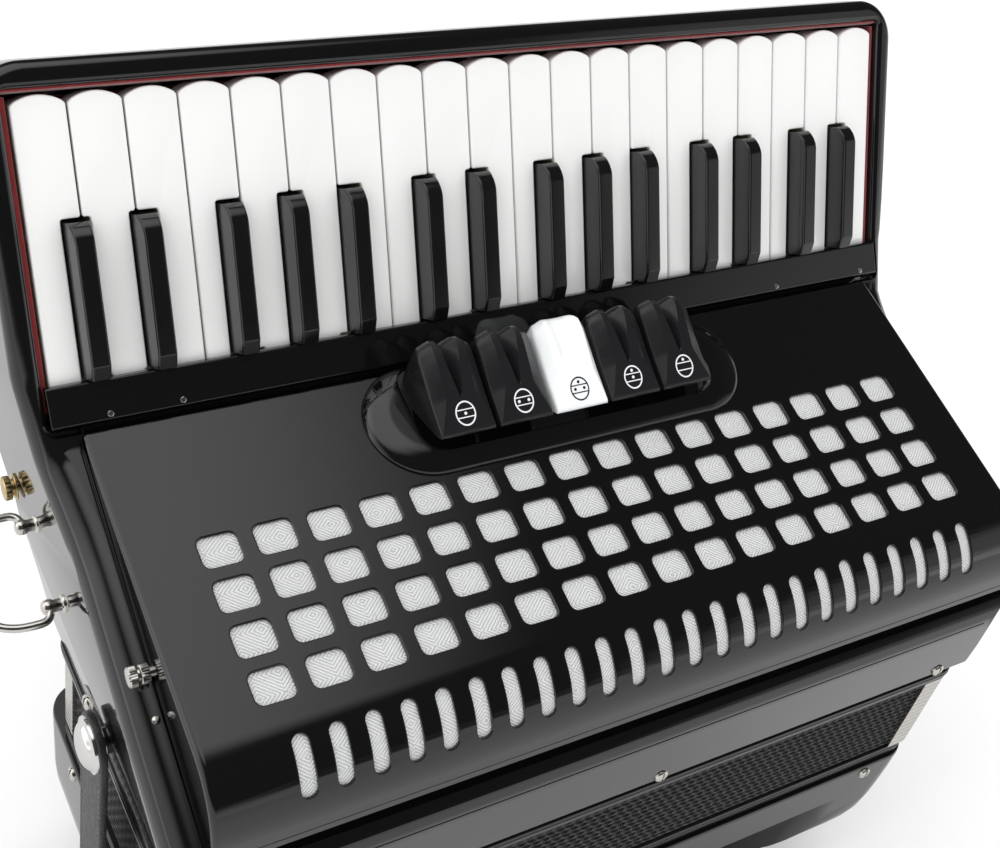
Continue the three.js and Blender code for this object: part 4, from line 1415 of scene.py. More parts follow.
def tab_mesh(middle, shape):
    verts = []
    for along in TAB_STATIONS:
        sink = round_inset(0.8, 0.8 * (along - TAB_START)) if along < TAB_START + 1 else 0.0
        row = tab_row(along, shape)
        verts += [COVER(middle + across, along, out - sink) for across, out in row]
    columns = len(row)
    for along in TAB_STATIONS:
        half = tab_half(along)
        under = look_up(along, TAB_UNDER)
        for j in range(columns):
            verts.append(COVER(middle - half + 2 * half * j / (columns - 1), along, under))
    return mesh_object(verts, shell_faces(len(TAB_STATIONS), columns))


def tab_mark(middle, dots):
    """A ring with two bars and its dots, on the tab's lower slope."""
    run, rise = 13, 6  # slope of the ridge where the mark lies
    length = hypot(run, rise)
    along = COVER_ALONG * (run / length) + COVER_OUT * (rise / length)
    out = COVER_OUT * (run / length) - COVER_ALONG * (rise / length)
    start = 23.6
    origin = COVER(middle, start, 12.8 + (start - TAB_START) * rise / run)
    oval = Frame(X, along * 1.12, out, origin)
    radius, width, height = 4.35, 0.55, 0.16
    inner = radius - width
    ring_rows = [
        (inner, -0.3), (radius, -0.3), (radius, height * 0.6), (radius - 0.1, height),
        (inner + 0.1, height), (inner, height * 0.6), (inner, -0.3),
    ]
    parts = [lathe(ring_rows, 48, oval)]
    for y in (-1.35, 1.35):
        half = sqrt((radius - width * 0.6) ** 2 - y * y)
        bar = round_rect(-half, half, y - 0.2, y + 0.2, 0.1, 2)
        parts.append(rounded_prism(bar, -0.3, height, oval, top=0.07, steps=2))
    dot_rows = [(0, -0.3), (0.62, -0.3), (0.62, height * 0.5), (0.48, height), (0, height * 1.15)]
    for x, y in dots:
        parts.append(lathe(dot_rows, 20, Frame(X, along, out, oval(x, y, 0))))
    return join(parts)


for i, dots in enumerate(MARK_DOTS):
    middle = (i - 2) * TAB_PITCH
    number = i + 1
    body = f"register_tab_{number}_body"
    is_white = i == 2
    tab = tab_mesh(middle, WHITE_TAB if is_white else BLACK_TAB)
    finish(
        paint(tab, "tabwhite" if is_white else "tab"), f"register_tab_{number}_moulded", body,
        f"register_tab_{number}",
        sharp=17, weighted=False,
    )
    finish(
        paint(tab_mark(middle, dots), "emblem_dark" if is_white else "emblem"),
        f"register_mark_{number}", body,
        sharp=35, weighted=False,
    )

# ------------------------------------------------------------------ bellows
BELLOWS_TOP, BELLOWS_FOOT, FOLDS = -144.35, -194.65, 15
BELLOWS_HALF, BELLOWS_FRONT, BELLOWS_BACK = 188.0, -154.0, 5.0
BELLOWS_CORNER = 7
FOLD_DEPTH = 13.0
FOLD_HEIGHT = (BELLOWS_TOP - BELLOWS_FOOT) / FOLDS
# (share of a fold's height, inset)
FOLD_SECTION = [
    (0.0, FOLD_DEPTH), (0.12, FOLD_DEPTH * 0.72), (0.27, 0.9), (0.36, 0.15),
    (0.5, 0.0), (0.64, 0.15), (0.73, 0.9), (0.88, FOLD_DEPTH * 0.72),
]
# share of the fold's height against the share of the cloth's pattern shown there
PATTERN_SHARE = (
    [0.0, 0.12, 0.27, 0.36, 0.5, 0.64, 0.73, 0.88, 1.0],
    [0.0, 0.02, 0.09, 0.24, 0.5, 0.76, 0.91, 0.98, 1.0],
)


def bellows_loop(inset, radius):
    x_low, x_high = -BELLOWS_HALF + inset, BELLOWS_HALF - inset
    y_low, y_high = BELLOWS_FRONT + inset, BELLOWS_BACK - inset

    def between(start, end, steps):
        return [start + (end - start) * k / steps for k in range(1, steps)]

    rise = between(y_low + radius, y_high - radius, 16)
    run = between(x_low + radius, x_high - radius, 40)
    fall = between(y_high - radius, y_low + radius, 16)
    back_run = between(x_high - radius, x_low + radius, 40)
    return (
        arc(x_high - radius, y_low + radius, radius, -90, 0, 6)
        + [(x_high, y) for y in rise]
        + arc(x_high - radius, y_high - radius, radius, 0, 90, 6)
        + [(x, y_high) for x in back_run]
        + arc(x_low + radius, y_high - radius, radius, 90, 180, 6)
        + [(x_low, y) for y in fall]
        + arc(x_low + radius, y_low + radius, radius, 180, 270, 6)
        + [(x, y_low) for x in run]
    )


def bellows_mesh():
    outline = bellows_loop(0, BELLOWS_CORNER)
    size = len(outline)
    around = [0.0]
    for here, ahead in zip(outline, outline[1:] + outline[:1]):
        around.append(around[-1] + hypot(ahead[0] - here[0], ahead[1] - here[1]))
    folds = [(k + share, inset) for k in range(FOLDS) for share, inset in FOLD_SECTION][1:]
    folds = [(0.0, 1.0)] + folds + [(float(FOLDS), 1.0)]
    # (height in folds, inset, corner radius), closed by an inner wall
    rings = [(level, inset, BELLOWS_CORNER - inset * 0.35) for level, inset in folds]
    rings += [(level, FOLD_DEPTH + 1.2, 2) for level in (float(FOLDS), 0.0)]
    verts = [
        (x, y, BELLOWS_FOOT + FOLD_HEIGHT * level)
        for level, inset, radius in rings
        for x, y in bellows_loop(inset, radius)
    ]
    pattern = [
        floor(level) + look_up(level - floor(level), PATTERN_SHARE) for level, *_ in rings
    ]
    coords = []
    for i, low in enumerate(pattern):
        high = pattern[(i + 1) % len(pattern)]
        for start, end in zip(around, around[1:]):
            coords += [(start, low), (end, low), (end, high), (start, high)]
    obj = mesh_object(verts, wall_faces(len(rings), size, wrap=True))
    layer = obj.data.uv_layers.new(name="UVMap")
    layer.data.foreach_set("uv", np.array(coords, dtype=np.float32).ravel())
    return obj


def blend_bellows(obj, per_fold=False):
    """Height sets how far a point follows the treble side; per_fold keeps a fold rigid."""
    low = Vector((0, 0, (BELLOWS_FOOT + SHIFT_Z) / 1000))
    high = Vector((0, 0, (BELLOWS_TOP + SHIFT_Z) / 1000))
    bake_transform(obj, "bass_side", "treble_side", start=tuple(low), end=tuple(high))
    weights = []
    for vert in obj.data.vertices:
        share = (vert.co.z - low.z) / (high.z - low.z)
        if per_fold:
            share = (floor(min(0.9999, max(0.0, share)) * FOLDS) + 0.5) / FOLDS
        weights.append(min(1.0, max(0.0, share)))
    attribute = obj.data.attributes["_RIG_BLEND"]
    attribute.data.foreach_set("value", np.array(weights, dtype=np.float32))


bellows = paint(bellows_mesh(), "bellows")
finish(
    bellows, "bellows_cloth_folds", None, "bellows", sharp=60, weighted=False
)
blend_bellows(bellows)


def cap_plan(x, y, start):
    """Plan of a corner cap: an angle with legs past the corner's arc."""

    def leg_end(radius, degrees, shift):
        angle = radians(degrees)
        return (
            x + cos(angle) * radius - sin(angle) * shift,
            y + sin(angle) * radius + cos(angle) * shift,
        )

    end, outer, inner, leg = start + 90, 8.6, 5.2, 9.0
    return (
        [leg_end(outer, start, -leg)] + arc(x, y, outer, start, end, 9) + [leg_end(outer, end, leg)]
        + [leg_end(inner, end, leg)] + arc(x, y, inner, end, start, 9)
        + [leg_end(inner, start, -leg)]
    )


# metal corner caps, one to each fold and corner
corner_x = BELLOWS_HALF - BELLOWS_CORNER
corner_front, corner_back = BELLOWS_FRONT + BELLOWS_CORNER, BELLOWS_BACK - BELLOWS_CORNER
caps = []
for k in range(FOLDS):
    middle = BELLOWS_FOOT + FOLD_HEIGHT * (k + 0.5)
    reach = FOLD_HEIGHT * 0.49
    for x, y, start in (
        (corner_x, corner_front, -90), (corner_x, corner_back, 0),
        (-corner_x, corner_back, 90), (-corner_x, corner_front, 180),
    ):
        plan = cap_plan(x, y, start)
        caps.append(
            rounded_prism(plan, middle - reach, middle + reach, top=0.3, bottom=0.3, steps=2)
        )
caps = paint(join(caps), "nickel")
finish(caps, "bellows_corner_caps", None, sharp=40, weighted=False)
blend_bellows(caps, per_fold=True)


def bellows_frame(side, half, front, low, high):
    """Frame at one end of the bellows, with a thin trim round its middle."""
    back, wall, corner = 7, 10, 12
    node = side + "_bellows_frame"
    name = node + "_finished"
    body = side + "_side"

    def ring(grow, radius, inset, inner_radius, steps, ring_low, ring_high, edge):
        outer = round_rect(-half - grow, half + grow, front - grow, back + grow, radius, 8)
        inner = round_rect(
            -half + inset, half - inset, front + inset, back - inset, inner_radius, steps
        )
        obj = rounded_prism(outer, ring_low, ring_high, top=edge, bottom=edge, steps=2)
        cut(obj, prism(inner, low - 2, high + 2))
        return obj

    main = ring(0, corner, wall, 3, 4, low, high, 0.5)
    finish(paint(main, "satin"), name, body, node, sharp=35)
    middle = (low + high) / 2
    trim = ring(0.25, corner + 0.2, 1.5, corner - 1.5, 8, middle - 0.9, middle + 0.9, 0.4)
    finish(paint(trim, "lacquer"), name + "_trim", body, sharp=35, weighted=False)


bellows_frame("treble", half=192, front=-156, low=-144, high=-138.35)
bellows_frame("bass", half=190, front=-155, low=-201.65, high=-195)

# ------------------------------------------------------------------ bass casing
BASS_FOOT = -285.0
BASS_HALF, BASS_FRONT, BASS_BACK = 192.0, -157.0, 24.0
FLOOR_BREAK = -70  # the underside is level in front of this y and rises behind it
FLOOR_RISE = 17 / 94


def floor_at(y):
    """z of the underside"""
    return BASS_FOOT if y < FLOOR_BREAK else BASS_FOOT + FLOOR_RISE * (y - FLOOR_BREAK)


def round_under(z, start, depth, reach):
    """How far a wall has drawn in at z, on an elliptic quarter that begins at start."""
    below = min(0, z - start) * reach / depth
    return reach - sqrt(max(0.0, reach * reach - below ** 2))


def bass_section(z):
    half = BASS_HALF - round_under(z, -237, 48, 48)
    front = BASS_FRONT + round_under(z, -240, 45, 45)
    back = BASS_BACK - round_under(z, -262, 23, 10)
    share = max(0.0, min(1.0, (-z - 202) / 83))
    front_radius = 16 + 26 * share * share
    back_radius = 16 + 8 * share
    return (
        arc(half - front_radius, front + front_radius, front_radius, -90, 0, 14)
        + arc(half - back_radius, back - back_radius, back_radius, 0, 90, 14)
        + arc(-half + back_radius, back - back_radius, back_radius, 90, 180, 14)
        + arc(-half + front_radius, front + front_radius, front_radius, 180, 270, 14)
    )


def board_recess():
    """Cutter for the recess of the button board, flared where it meets the front."""
    flare_radius, front = 24.0, 157
    top = BOARD.side(42, -1)[1]
    outline = ccw([
        (-107.2, -310), (107.2, -310), (110, -282), (118, -262),
        (127, top), (-127, top), (-118, -262), (-110, -282),
    ])
    # full flare at the sides, next to none along the top and bottom
    shares = [
        1.0 if abs((here[0] + ahead[0]) / 2) > 60 else 0.03
        for here, ahead in zip(outline, outline[1:] + outline[:1])
    ]
    rings = [(60, 0.0), (front - flare_radius, 0.0)]
    for k in range(1, 9):
        depth = flare_radius * cos(radians(90 * k / 8))
        inset = round_inset(flare_radius, depth)
        rings.append((front - depth, [-inset * share for share in shares]))
    rings.append((200, [-flare_radius * share for share in shares]))
    cutter = ring_solid(outline, rings, XZ)
    high, low = BOARD.side(60, -1), BOARD.side(-120, -1)
    cut(cutter, prism([high, low, (-260, low[1]), (-260, high[1])], -220, 220, YZ), "INTERSECT")
    return cutter


# (z, inset) of the sections, from the rim down
bass_stations = [(-202, 0.9), (-202.25, 0.45), (-202.9, 0.1)]
bass_stations += [(z, 0.0) for z in (-204, -214, -226, -236)]
bass_stations += [
    (-240 - 45 * sin(radians(angle)), 0.0)
    for angle in (6, 14, 22, 30, 38, 46, 54, 61, 68, 74, 80, 85, 90)
]
bass = loft([
    [Vector((x, y, z)) for x, y in offset_poly(bass_section(z), inset)]
    for z, inset in reversed(bass_stations)
])
underside = [(FLOOR_BREAK, BASS_FOOT), (60, floor_at(60)), (60, -330), (FLOOR_BREAK, -330)]
cut(bass, prism(underside, -260, 260, YZ))
# the hollow inside
cut(bass, block(-182, 182, -149, 0, -230, -190))
bass_room = [
    (-149, -190), (-149, -219), (-142, -226), (-88, -279), (-70, -279), (17, -263), (17, -210),
    (0, -210), (0, -190),
]
cut(bass, prism(bass_room, -150, 150, YZ))
cut(bass, board_recess())
# openings under the board and in the underside
cut(bass, block(-102, 102, -33, 33, -20, 20, BOARD))
cut(bass, block(-126, 126, -84, 8, -292, -255))
finish(
    paint(tidy(bass, 2e-3), "lacquer"), "bass_casing_finished", "bass_side",
    "bass_casing", sharp=28,
)

# ------------------------------------------------------------------ button board and buttons
BUTTON_ROWS, BUTTON_COLUMNS = 5, 12
BUTTON_PITCH, BUTTON_ROW_PITCH, BUTTON_STAGGER = 16, 13.4, 3.4
BUTTON_RADIUS, BUTTON_TOP = 4.6, 7.95
BUTTON_HOLE = 5.4
BOARD_TOP = 2.4
buttons = [
    ((j - 5.5) * BUTTON_PITCH + (i - 2) * BUTTON_STAGGER, (i - 2) * BUTTON_ROW_PITCH)
    for i in range(BUTTON_ROWS)
    for j in range(BUTTON_COLUMNS)
]
board_half = (BOARD_HIGH - BOARD_LOW).length / 2
board_plan = round_rect(-106.65, 106.65, -board_half + 1.5, board_half - 2, 2, 4)
board = rounded_prism(board_plan, -0.6, BOARD_TOP, BOARD, top=0.8)
cut(board, join([
    flare(circle(x, y, BUTTON_HOLE, 24), -4, BOARD_TOP, 0.5, BOARD, steps=2) for x, y in buttons
]))
finish(
    paint(board, "lacquer"), "bass_button_board_finished", "bass_side",
    "bass_button_board", sharp=30,
)
backing = rounded_prism(round_rect(-97, 97, -30, 30, 2, 3), -8.5, -6.5, BOARD, top=0.3)
button_parts = [paint(backing, "keywood")]
for i, (x, y) in enumerate(buttons):
    row, column = divmod(i, BUTTON_COLUMNS)
    # two buttons in the fourth row have deeper hollows
    hollow = 0.9 if row == 3 and column in (3, 7) else 0.35
    button_rows = [
        (0, -7), (BUTTON_RADIUS, -7), (BUTTON_RADIUS, 6.6), (4.52, 7.1), (4.28, 7.55),
        (3.9, 7.85), (3.4, BUTTON_TOP), (2.2, BUTTON_TOP - hollow * 0.4),
        (1.1, BUTTON_TOP - hollow * 0.8), (0, BUTTON_TOP - hollow),
    ]
    button_parts.append(paint(lathe(button_rows, 28, BOARD.at(x, y)), "button"))
finish(
    join(button_parts), "bass_buttons_finished", "bass_button_set", "bass_buttons",
    sharp=40, weighted=False,
)

# ------------------------------------------------------------------ under the bass side
AIR_X, AIR_Y = 104, -76
PLATE_THICKNESS = 3.0


def plate_radius(middle):
    """Only the plate's lower edges are rounded."""
    y, z = middle
    return 1.0 if z < -286 or y > -60 and z < floor_at(y) - 2.5 else 0


plate_section = [
    (-90, -285.4), (-90, -288.0), (FLOOR_BREAK, -288.0), (20, floor_at(20) - PLATE_THICKNESS),
    (20, floor_at(20) - 0.4), (FLOOR_BREAK, -285.4),
]
plate = rounded_prism(plate_section, -143, 143, YZ, top=plate_radius, bottom=plate_radius)
cut(plate, prism(round_rect(-143, 143, -90, 20, 12, 8), -320, -240), "INTERSECT")
cut(plate, prism(circle(AIR_X, AIR_Y, 6.4, 24), -300, -270))
cut(plate, join([
    prism(round_rect(x - 2, x + 2, 1, 13, 2, 4), -300, -262) for x in range(-72, 73, 12)
] + [prism(round_rect(x - 2, x + 2, 1, 13, 2, 4), -300, -262) for x in ()]))
finish(
    paint(plate, "satin"), "bass_cover_finished", "bass_side", "bass_cover",
    sharp=30,
)
feet = []
for x in (-131, 131):
    for y in (-80, 11):
        top = floor_at(y - 8) - 1.6
        foot_rows = [
            (0, -296.2), (2.0, -296.2), (2.6, -297), (6.6, -297), (7.9, -296.6), (8.5, -295.6),
            (8.5, top - 1.5), (8.3, top), (0, top),
        ]
        feet.append(lathe(foot_rows, 36, WORLD.at(x, y)))
finish(
    paint(join(feet), "rubber"), "bass_feet", "bass_side", sharp=40, weighted=False
)
plate_screws = []
for x, y in (
    (-138, -40), (138, -40), (-60, -86), (60, -86), (-60, 16), (60, 16), (0, -86), (0, 16)
):
    space = Frame(X, -Y, -Z, (x, y, floor_at(y) - PLATE_THICKNESS))
    plate_screws.append(slot_screw(space, 2.3, 0.8, 0.4 + x))
finish(
    paint(join(plate_screws), "nickel"), "bass_cover_screws", "bass_side", sharp=35,
    weighted=False,
)
air_rows = [
    (0, -292.4), (3.0, -292.75), (4.6, -293), (5.3, -292.6), (5.6, -291.7), (5.6, -277),
    (8.2, -277), (8.2, -273), (0, -273),
]
air_button = lathe(air_rows, 36, WORLD.at(AIR_X, AIR_Y))
finish(
    paint(air_button, "nickel"), "air_button_finished", "air_button_body", "air_button",
    sharp=35, weighted=False,
)

# hand strap: a band between two blocks, stitched along both edges
STRAP_HALF, STRAP_Y, STRAP_WIDTH, STRAP_THICKNESS = 119.2, -31, 50, 3.2


def strap_z(x):
    """Middle of the band's thickness, which sags below its ends."""
    return -290.1 - 1.4 * (1 - (x / STRAP_HALF) ** 4)


def strap_band():
    xs = [-STRAP_HALF + 2 * STRAP_HALF * k / 40 for k in range(41)]
    path = [Vector((x, STRAP_Y, strap_z(x))) for x in xs]
    half_width, half_thick = STRAP_WIDTH / 2, STRAP_THICKNESS / 2
    outline = round_rect(-half_width, half_width, -half_thick, half_thick, 0.96, 4)
    sections = []
    for i, point in enumerate(path):
        up = Y.cross(tangent(path, i)).normalized()
        sections.append([point + Y * across + up * rise for across, rise in outline])
    return loft(sections)


strap_parts = [paint(strap_band(), "leather")]
for side, _ in SIDES:
    low, high = sorted((side * 107.5, side * 119.8))
    block_section = [
        (-52, -291.2), (-10, -291.2), (-10, floor_at(-10) - 3.3), (-52, floor_at(-52) - 3.3)
    ]
    end_block = rounded_prism(round_poly(block_section, 0.8, 2), low, high, YZ, top=0.6, bottom=0.6)
    strap_parts.append(paint(end_block, "satin"))
for y in (-53.2, -8.8):
    for k in range(56):
        x = -112 + 224 * k / 55
        z = strap_z(x) - 1.65
        plan = round_rect(x - 1.3, x + 1.3, y - 0.3, y + 0.3, 0.29, 2)
        stitch = rounded_prism(plan, z - 0.28, z + 0.1, bottom=0.2, steps=2)
        strap_parts.append(paint(stitch, "thread"))
finish(
    join(strap_parts), "bass_hand_strap", "bass_side", "bass_strap", sharp=45,
    weighted=False,
)


# ------------------------------------------------------------------ pins that hold the frames
def bellows_pins(side, z, front_xs, front_y, back_y, back_z, side_ys, left_x, right_x):
    def pin(x, y, z, out, radius=3.3, height=1.7):
        space = Frame(Z.cross(out), Z, out, (x, y, z))
        return slot_screw(space, radius, height, turn=radians(90))

    pins = [pin(x, front_y, z, -Y) for x in front_xs]
    pins += [pin(x, back_y, back_z, Y, 3.0, 1.4) for x in (-150, 0, 150)]
    for y in side_ys:
        pins += [pin(left_x, y, z, -X), pin(right_x, y, z, X)]
    finish(
        paint(join(pins), "nickel"), "bellows_pins_" + side, side + "_side", sharp=35,
        weighted=False,
    )


bellows_pins(
    "treble", z=-132.6, front_xs=(-149.4, 11.5, 172.4), front_y=-156.2, back_y=10.2, back_z=-131,
    side_ys=(-128, -40), left_x=-192.3, right_x=198.6,
)
bellows_pins(
    "bass", z=-208.2, front_xs=(-160.5, 0.5, 161.5), front_y=BASS_FRONT, back_y=BASS_BACK,
    back_z=-209, side_ys=(-128, -20), left_x=-BASS_HALF, right_x=BASS_HALF,
)

# ------------------------------------------------------------------ straps that shut the bellows
CLASP_Y, CLASP_SNAP, CLASP_PIVOT, CLASP_RADIUS = -79.0, -104.5, -220.0, 12.4
CLASP_X = 200.6
STITCH_PITCH = 3.4
# (radius, height) rows, heights out from the strap's inner face
SNAP_DOME = [
    (0, 2.2), (10.9, 2.2), (11.1, 3.6), (10.9, 4.1), (10.3, 4.4), (9.7, 4.45), (9.3, 4.8),
    (8.6, 5.65), (7.5, 6.5), (6.1, 7.15), (4.4, 7.6), (2.3, 7.85), (0, 7.9),
]
SNAP_SOCKET = [(0, -6.5), (5, -6.5), (5, 0.5), (0, 0.5)]
PIVOT_STUD = [
    (0, -8.0), (6, -8.0), (6, -0.2), (6, 2.6), (6.9, 2.8), (6.9, 3.4), (6.2, 4.0), (4.6, 4.5),
    (2.4, 4.8), (0, 4.9),
]
SNAP_STUD = [(0, -0.8), (6.2, -0.8), (6.2, 0.2), (5.6, 0.45), (0, 0.5)]


def edge_stitches(plan, space):
    """Stitches at an even pitch on a line inside the strap's edge."""
    seam = offset_poly(ccw(plan), 1.7)
    total = 0
    runs = []
    for i in range(len(seam)):
        start, end = Vector(seam[i]), Vector(seam[(i + 1) % len(seam)])
        runs.append((total, start, end))
        total += (end - start).length
    count = int(total / STITCH_PITCH)
    stitches = []
    for k in range(count):
        wanted = total * k / count
        for before, start, end in runs:
            if before <= wanted <= before + (end - start).length + 1e-6:
                break
        share = (wanted - before) / max(1e-6, (end - start).length)
        middle = start + (end - start) * share
        along = (end - start).normalized() * 1.05
        across = Vector((-along.y, along.x)).normalized() * 0.26
        outline = [
            middle - along - across, middle + along - across,
            middle + along + across, middle - along + across,
        ]
        stitch = rounded_prism(outline, 2.5, 3.0, space, top=0.15, steps=2)
        stitches.append(paint(stitch, "thread"))
    return stitches


for side, name in SIDES:
    space = Frame(Y, Z, X * side, (side * CLASP_X, 0, 0))
    plan = capsule(CLASP_Y, CLASP_PIVOT, CLASP_SNAP, CLASP_RADIUS, 24, 30)
    parts = [paint(rounded_prism(plan, 0, 2.8, space, top=0.8, bottom=0.5), "leather")]
    parts += edge_stitches(plan, space)
    snap = space.at(CLASP_Y, CLASP_SNAP)
    parts.append(paint(lathe(SNAP_DOME, 48, snap), "chrome"))
    parts.append(paint(lathe(SNAP_SOCKET, 32, snap), "satin"))
    parts.append(paint(lathe(PIVOT_STUD, 40, space.at(-71.0, CLASP_PIVOT)), "nickel"))
    finish(
        join(parts), f"bellows_strap_{name}_stitched", f"bellows_strap_{name}_body",
        f"bellows_strap_{name}", sharp=40, weighted=False,
    )
    # the lower half of the press stud stays on the treble side
    stud = lathe(SNAP_STUD, 36, space.at(CLASP_Y, CLASP_SNAP, -0.7))
    finish(
        paint(stud, "nickel"), "strap_stud_" + name, "treble_side", sharp=40,
        weighted=False,
    )

# ------------------------------------------------------------------ shoulder strap rings, eyes
RING_X = 205.5
EYES = (Vector((0, 1, -69)), Vector((0, -34, -77)))
EYE_LINE = (EYES[1] - EYES[0]).normalized()
# (out from the side, along the line of the eyes)
RING_PATH = [
    (0, 1.5), (0, -0.5), (0, -2.5), (1.6, -5.0), (5, -5.8), (13, -5.2), (19.5, -2.0), (22.6, 5),
    (23.6, 18), (22.6, 31), (19.5, 38), (13, 41.2), (5, 41.8), (1.6, 41.0), (0, 38.5), (0, 36.5),
    (0, 34.4),
]
EYE_PROFILE = [
    (0, -2), (3.6, -2), (3.6, 1.0), (3.2, 1.5), (2.5, 1.8), (2.4, 4.3), (2.9, 5.0), (3.1, 6.3),
    (2.9, 7.6), (2.2, 8.5), (1.2, 8.9), (0, 9.0),
]
for side, name in SIDES:
    path = [
        Vector((side * (RING_X + out), 0, 0)) + EYES[0] + EYE_LINE * along
        for out, along in RING_PATH
    ]
    wire = tube(smooth_path(path, 7), 1.6, 14)
    finish(
        paint(wire, "nickel"), f"strap_ring_{name}_wire", f"strap_ring_{name}_body",
        f"strap_ring_{name}", sharp=60, weighted=False,
    )
    eyes = [
        lathe(EYE_PROFILE, 28, Frame(Y, Z, X * side, (side * 199.2, eye.y, eye.z)))
        for eye in EYES
    ]
    finish(
        paint(join(eyes), "nickel"), "strap_eyes_" + name, "treble_side", sharp=45,
        weighted=False,
    )

# ------------------------------------------------------------------ thumb screws
KNOB_RIB, SIDE_RIB = 0.06, 0.07  # depth of the knurling as a share of the radius
KNOB_PROFILE = [
    (0, -1.5), (2.0, -1.5), (2.0, 1.2), (3.5, 1.3), (3.7, 1.6, KNOB_RIB), (3.7, 4.1, KNOB_RIB),
    (3.3, 4.4), (2.8, 4.6), (2.8, 5.2), (3.5, 5.4), (3.8, 5.7, KNOB_RIB), (3.8, 8.0, KNOB_RIB),
    (3.3, 8.6), (2.0, 8.9), (0, 9.0),
]
SIDE_PROFILE = [
    (0, -3.5), (2.0, -3.5), (2.0, 0.2), (5.2, 0.2), (5.4, 0.6), (5.2, 1.0), (3.4, 1.2),
    (3.4, 2.0), (4.6, 2.2), (4.9, 2.5, SIDE_RIB), (4.9, 4.6, SIDE_RIB), (4.2, 5.0), (2.4, 5.2),
    (0, 5.25),
]
knobs = []
for side, _ in SIDES:
    space = Frame(Y, Z * side, X * side, (side * 188, -95, top_at(-95) + 3.4))
    knobs.append(lathe(KNOB_PROFILE, 52, space))
    space = Frame(X, slope_along, slope_out, (side * 190.6, -108, top_at(-108)))
    knobs.append(slot_screw(space, 1.5, 0.6, turn=0.9))
finish(
    paint(join(knobs), "nickel"), "cover_thumb_screws", "treble_side", sharp=30,
    weighted=False,
)
knobs = [
    lathe(SIDE_PROFILE, 40, Frame(Y, Z * side, X * side, (side * 201.4, 24, -70)))
    for side, _ in SIDES
]
finish(
    paint(join(knobs), "brass"), "side_thumb_screws", "treble_side", sharp=30,
    weighted=False,
)

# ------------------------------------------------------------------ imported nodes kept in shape
for name, material in (
    ("key_axle", "nickel"),
    ("treble_soundboard", "spruce"),
    ("treble_reed_block", "spruce"),
    ("bass_reed_block", "spruce"),
):
    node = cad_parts[name]
    if node.material_slots:
        for slot in node.material_slots:
            slot.material = MATERIALS[material]
    else:
        node.data.materials.append(MATERIALS[material])

# ------------------------------------------------------------------ floor, in metres
FLOOR_HALF = 9
floor_mesh = bpy.data.meshes.new("studio_floor")
floor_corners = [(-1, -1), (1, -1), (1, 1), (-1, 1)]
floor_mesh.from_pydata(
    [(x * FLOOR_HALF, y * FLOOR_HALF, 0) for x, y in floor_corners], [], [(0, 1, 2, 3)]
)
studio_floor = bpy.data.objects.new("studio_floor", floor_mesh)
bpy.context.scene.collection.objects.link(studio_floor)
floor_mesh.materials.append(stage("studio_floor_white", (0.93, 0.93, 0.93)))

# ------------------------------------------------------------------ surroundings
# shiny surfaces see a dark room with soft bright patches and a pale band at the horizon;
# everything else sees an even level
DARK_LEVEL, EVEN_LEVEL = 0.05, 1.22
# (direction, angle of full brightness, angle where it ends, level)
PATCHES = [
    ((-0.12, 0.22, 0.97), 20, 37, 1.25),
    ((-0.7, 0.55, 0.45), 12, 42, 0.9),
    ((0.79, -0.59, 0.19), 10, 24, 0.45),
    ((-0.93, 0.08, 0.34), 8, 38, 0.75),
]
world = bpy.data.worlds.new("studio")
bpy.context.scene.world = world
world.use_nodes = True
background = world.node_tree.nodes["Background"]
sky = Graph(world.node_tree)


def smooth_step(value, from_low, from_high, to_low, to_high):
    node = sky.new("MapRange", interpolation_type="SMOOTHSTEP")
    for key, number in (
        ("From Min", from_low), ("From Max", from_high), ("To Min", to_low), ("To Max", to_high)
    ):
        node.inputs[key].default_value = number
    sky.link(value, node.inputs["Value"])
    return node.outputs["Result"]


def patch(direction, inner, outer, level):
    """level inside a soft round patch of the surroundings, nothing outside it"""
    dot = sky.new("VectorMath", operation="DOT_PRODUCT")
    dot.inputs[1].default_value = Vector(direction).normalized()
    sky.link(sky.coords["Generated"], dot.inputs[0])
    edges = cos(radians(outer)), cos(radians(inner))
    return smooth_step(dot.outputs["Value"], *edges, to_low=0.0, to_high=level)


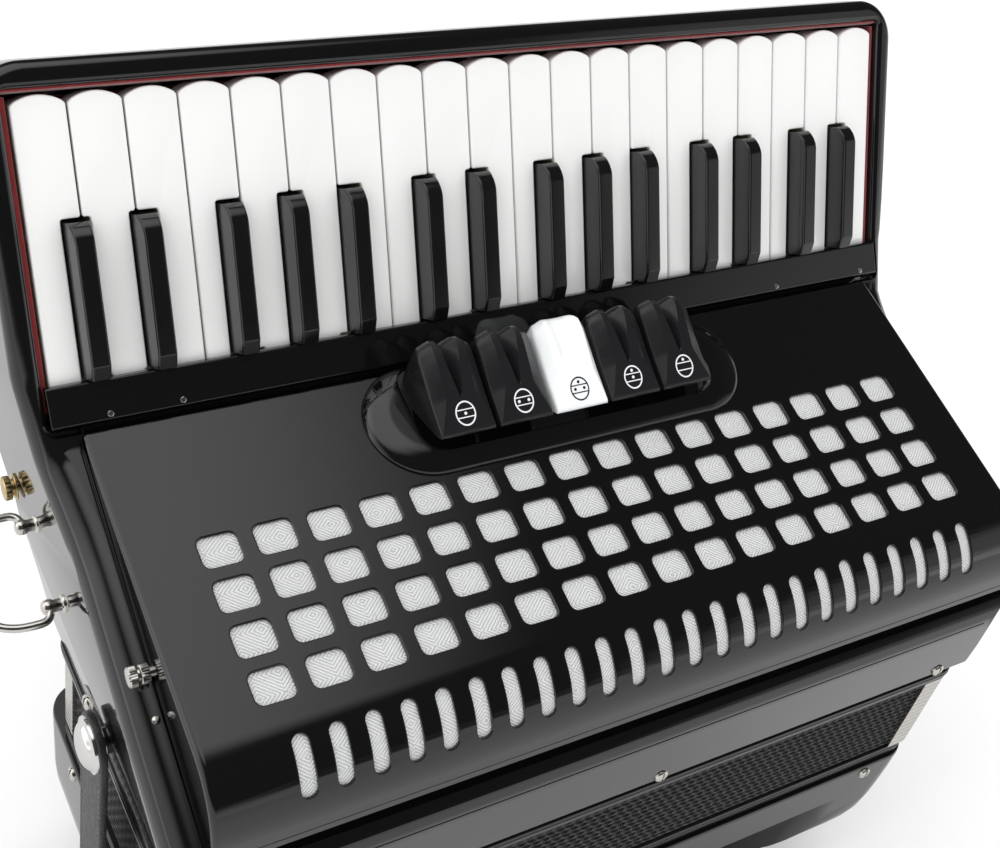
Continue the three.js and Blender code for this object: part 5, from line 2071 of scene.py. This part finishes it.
split = sky.new("SeparateXYZ")
sky.link(sky.coords["Generated"], split.inputs[0])
shine = sky.plus(patch(*PATCHES[0]), DARK_LEVEL)
for row in PATCHES[1:]:
    shine = sky.plus(shine, patch(*row))
horizon = smooth_step(split.outputs[2], from_low=0.02, from_high=0.22, to_low=0.85, to_high=0.0)
shine = sky.plus(shine, horizon)
glossy = sky.new("LightPath").outputs["Is Glossy Ray"]
seen_glossy = sky.times(shine, glossy)
seen_even = sky.times(sky.math("SUBTRACT", 1.0, glossy), EVEN_LEVEL)
sky.link(sky.plus(seen_glossy, seen_even), background.inputs["Strength"])
background.inputs["Color"].default_value = (1, 1, 1, 1)
bpy.context.scene.view_settings.view_transform = "Standard"

# ------------------------------------------------------------------ light, in metres and watts
LIGHT_AT, LIGHT_TARGET = Vector((-1.5, 0.3, 1.9)), Vector((0, 0, 0.2))
light = bpy.data.lights.new("softbox_left", "AREA")
light.shape = "RECTANGLE"
light.size = light.size_y = 1.4
light.energy = 12
softbox = bpy.data.objects.new("softbox_left", light)
bpy.context.scene.collection.objects.link(softbox)
softbox.location = LIGHT_AT
softbox.rotation_euler = (LIGHT_TARGET - LIGHT_AT).to_track_quat("-Z", "Y").to_euler()
softbox.visible_glossy = False

# ------------------------------------------------------------------ camera
CAMERA_AT = (-303.3, -388.8, 347.8)  # datum frame, millimetres
CAMERA_RIGHT = (0.8577236, -0.4768713, 0.1921039)
CAMERA_UP = (0.1918032, 0.6435022, 0.7410239)
CAMERA_BACK = (-0.4769924, -0.5987476, 0.6434125)
camera_data = bpy.data.cameras.new("camera")
camera_data.sensor_fit = "HORIZONTAL"
camera_data.sensor_width = 36.0
camera_data.lens = 51.8724
camera_data.clip_start = 0.01
camera_data.clip_end = 50
camera = bpy.data.objects.new("camera", camera_data)
bpy.context.scene.collection.objects.link(camera)
pose = Matrix((CAMERA_RIGHT, CAMERA_UP, CAMERA_BACK)).transposed().to_4x4()
pose.translation = (
    Vector((CAMERA_AT[0], CAMERA_AT[1] + SHIFT_Y, CAMERA_AT[2] + SHIFT_Z)) / 1000
)
camera.matrix_world = pose
bpy.context.scene.camera = camera
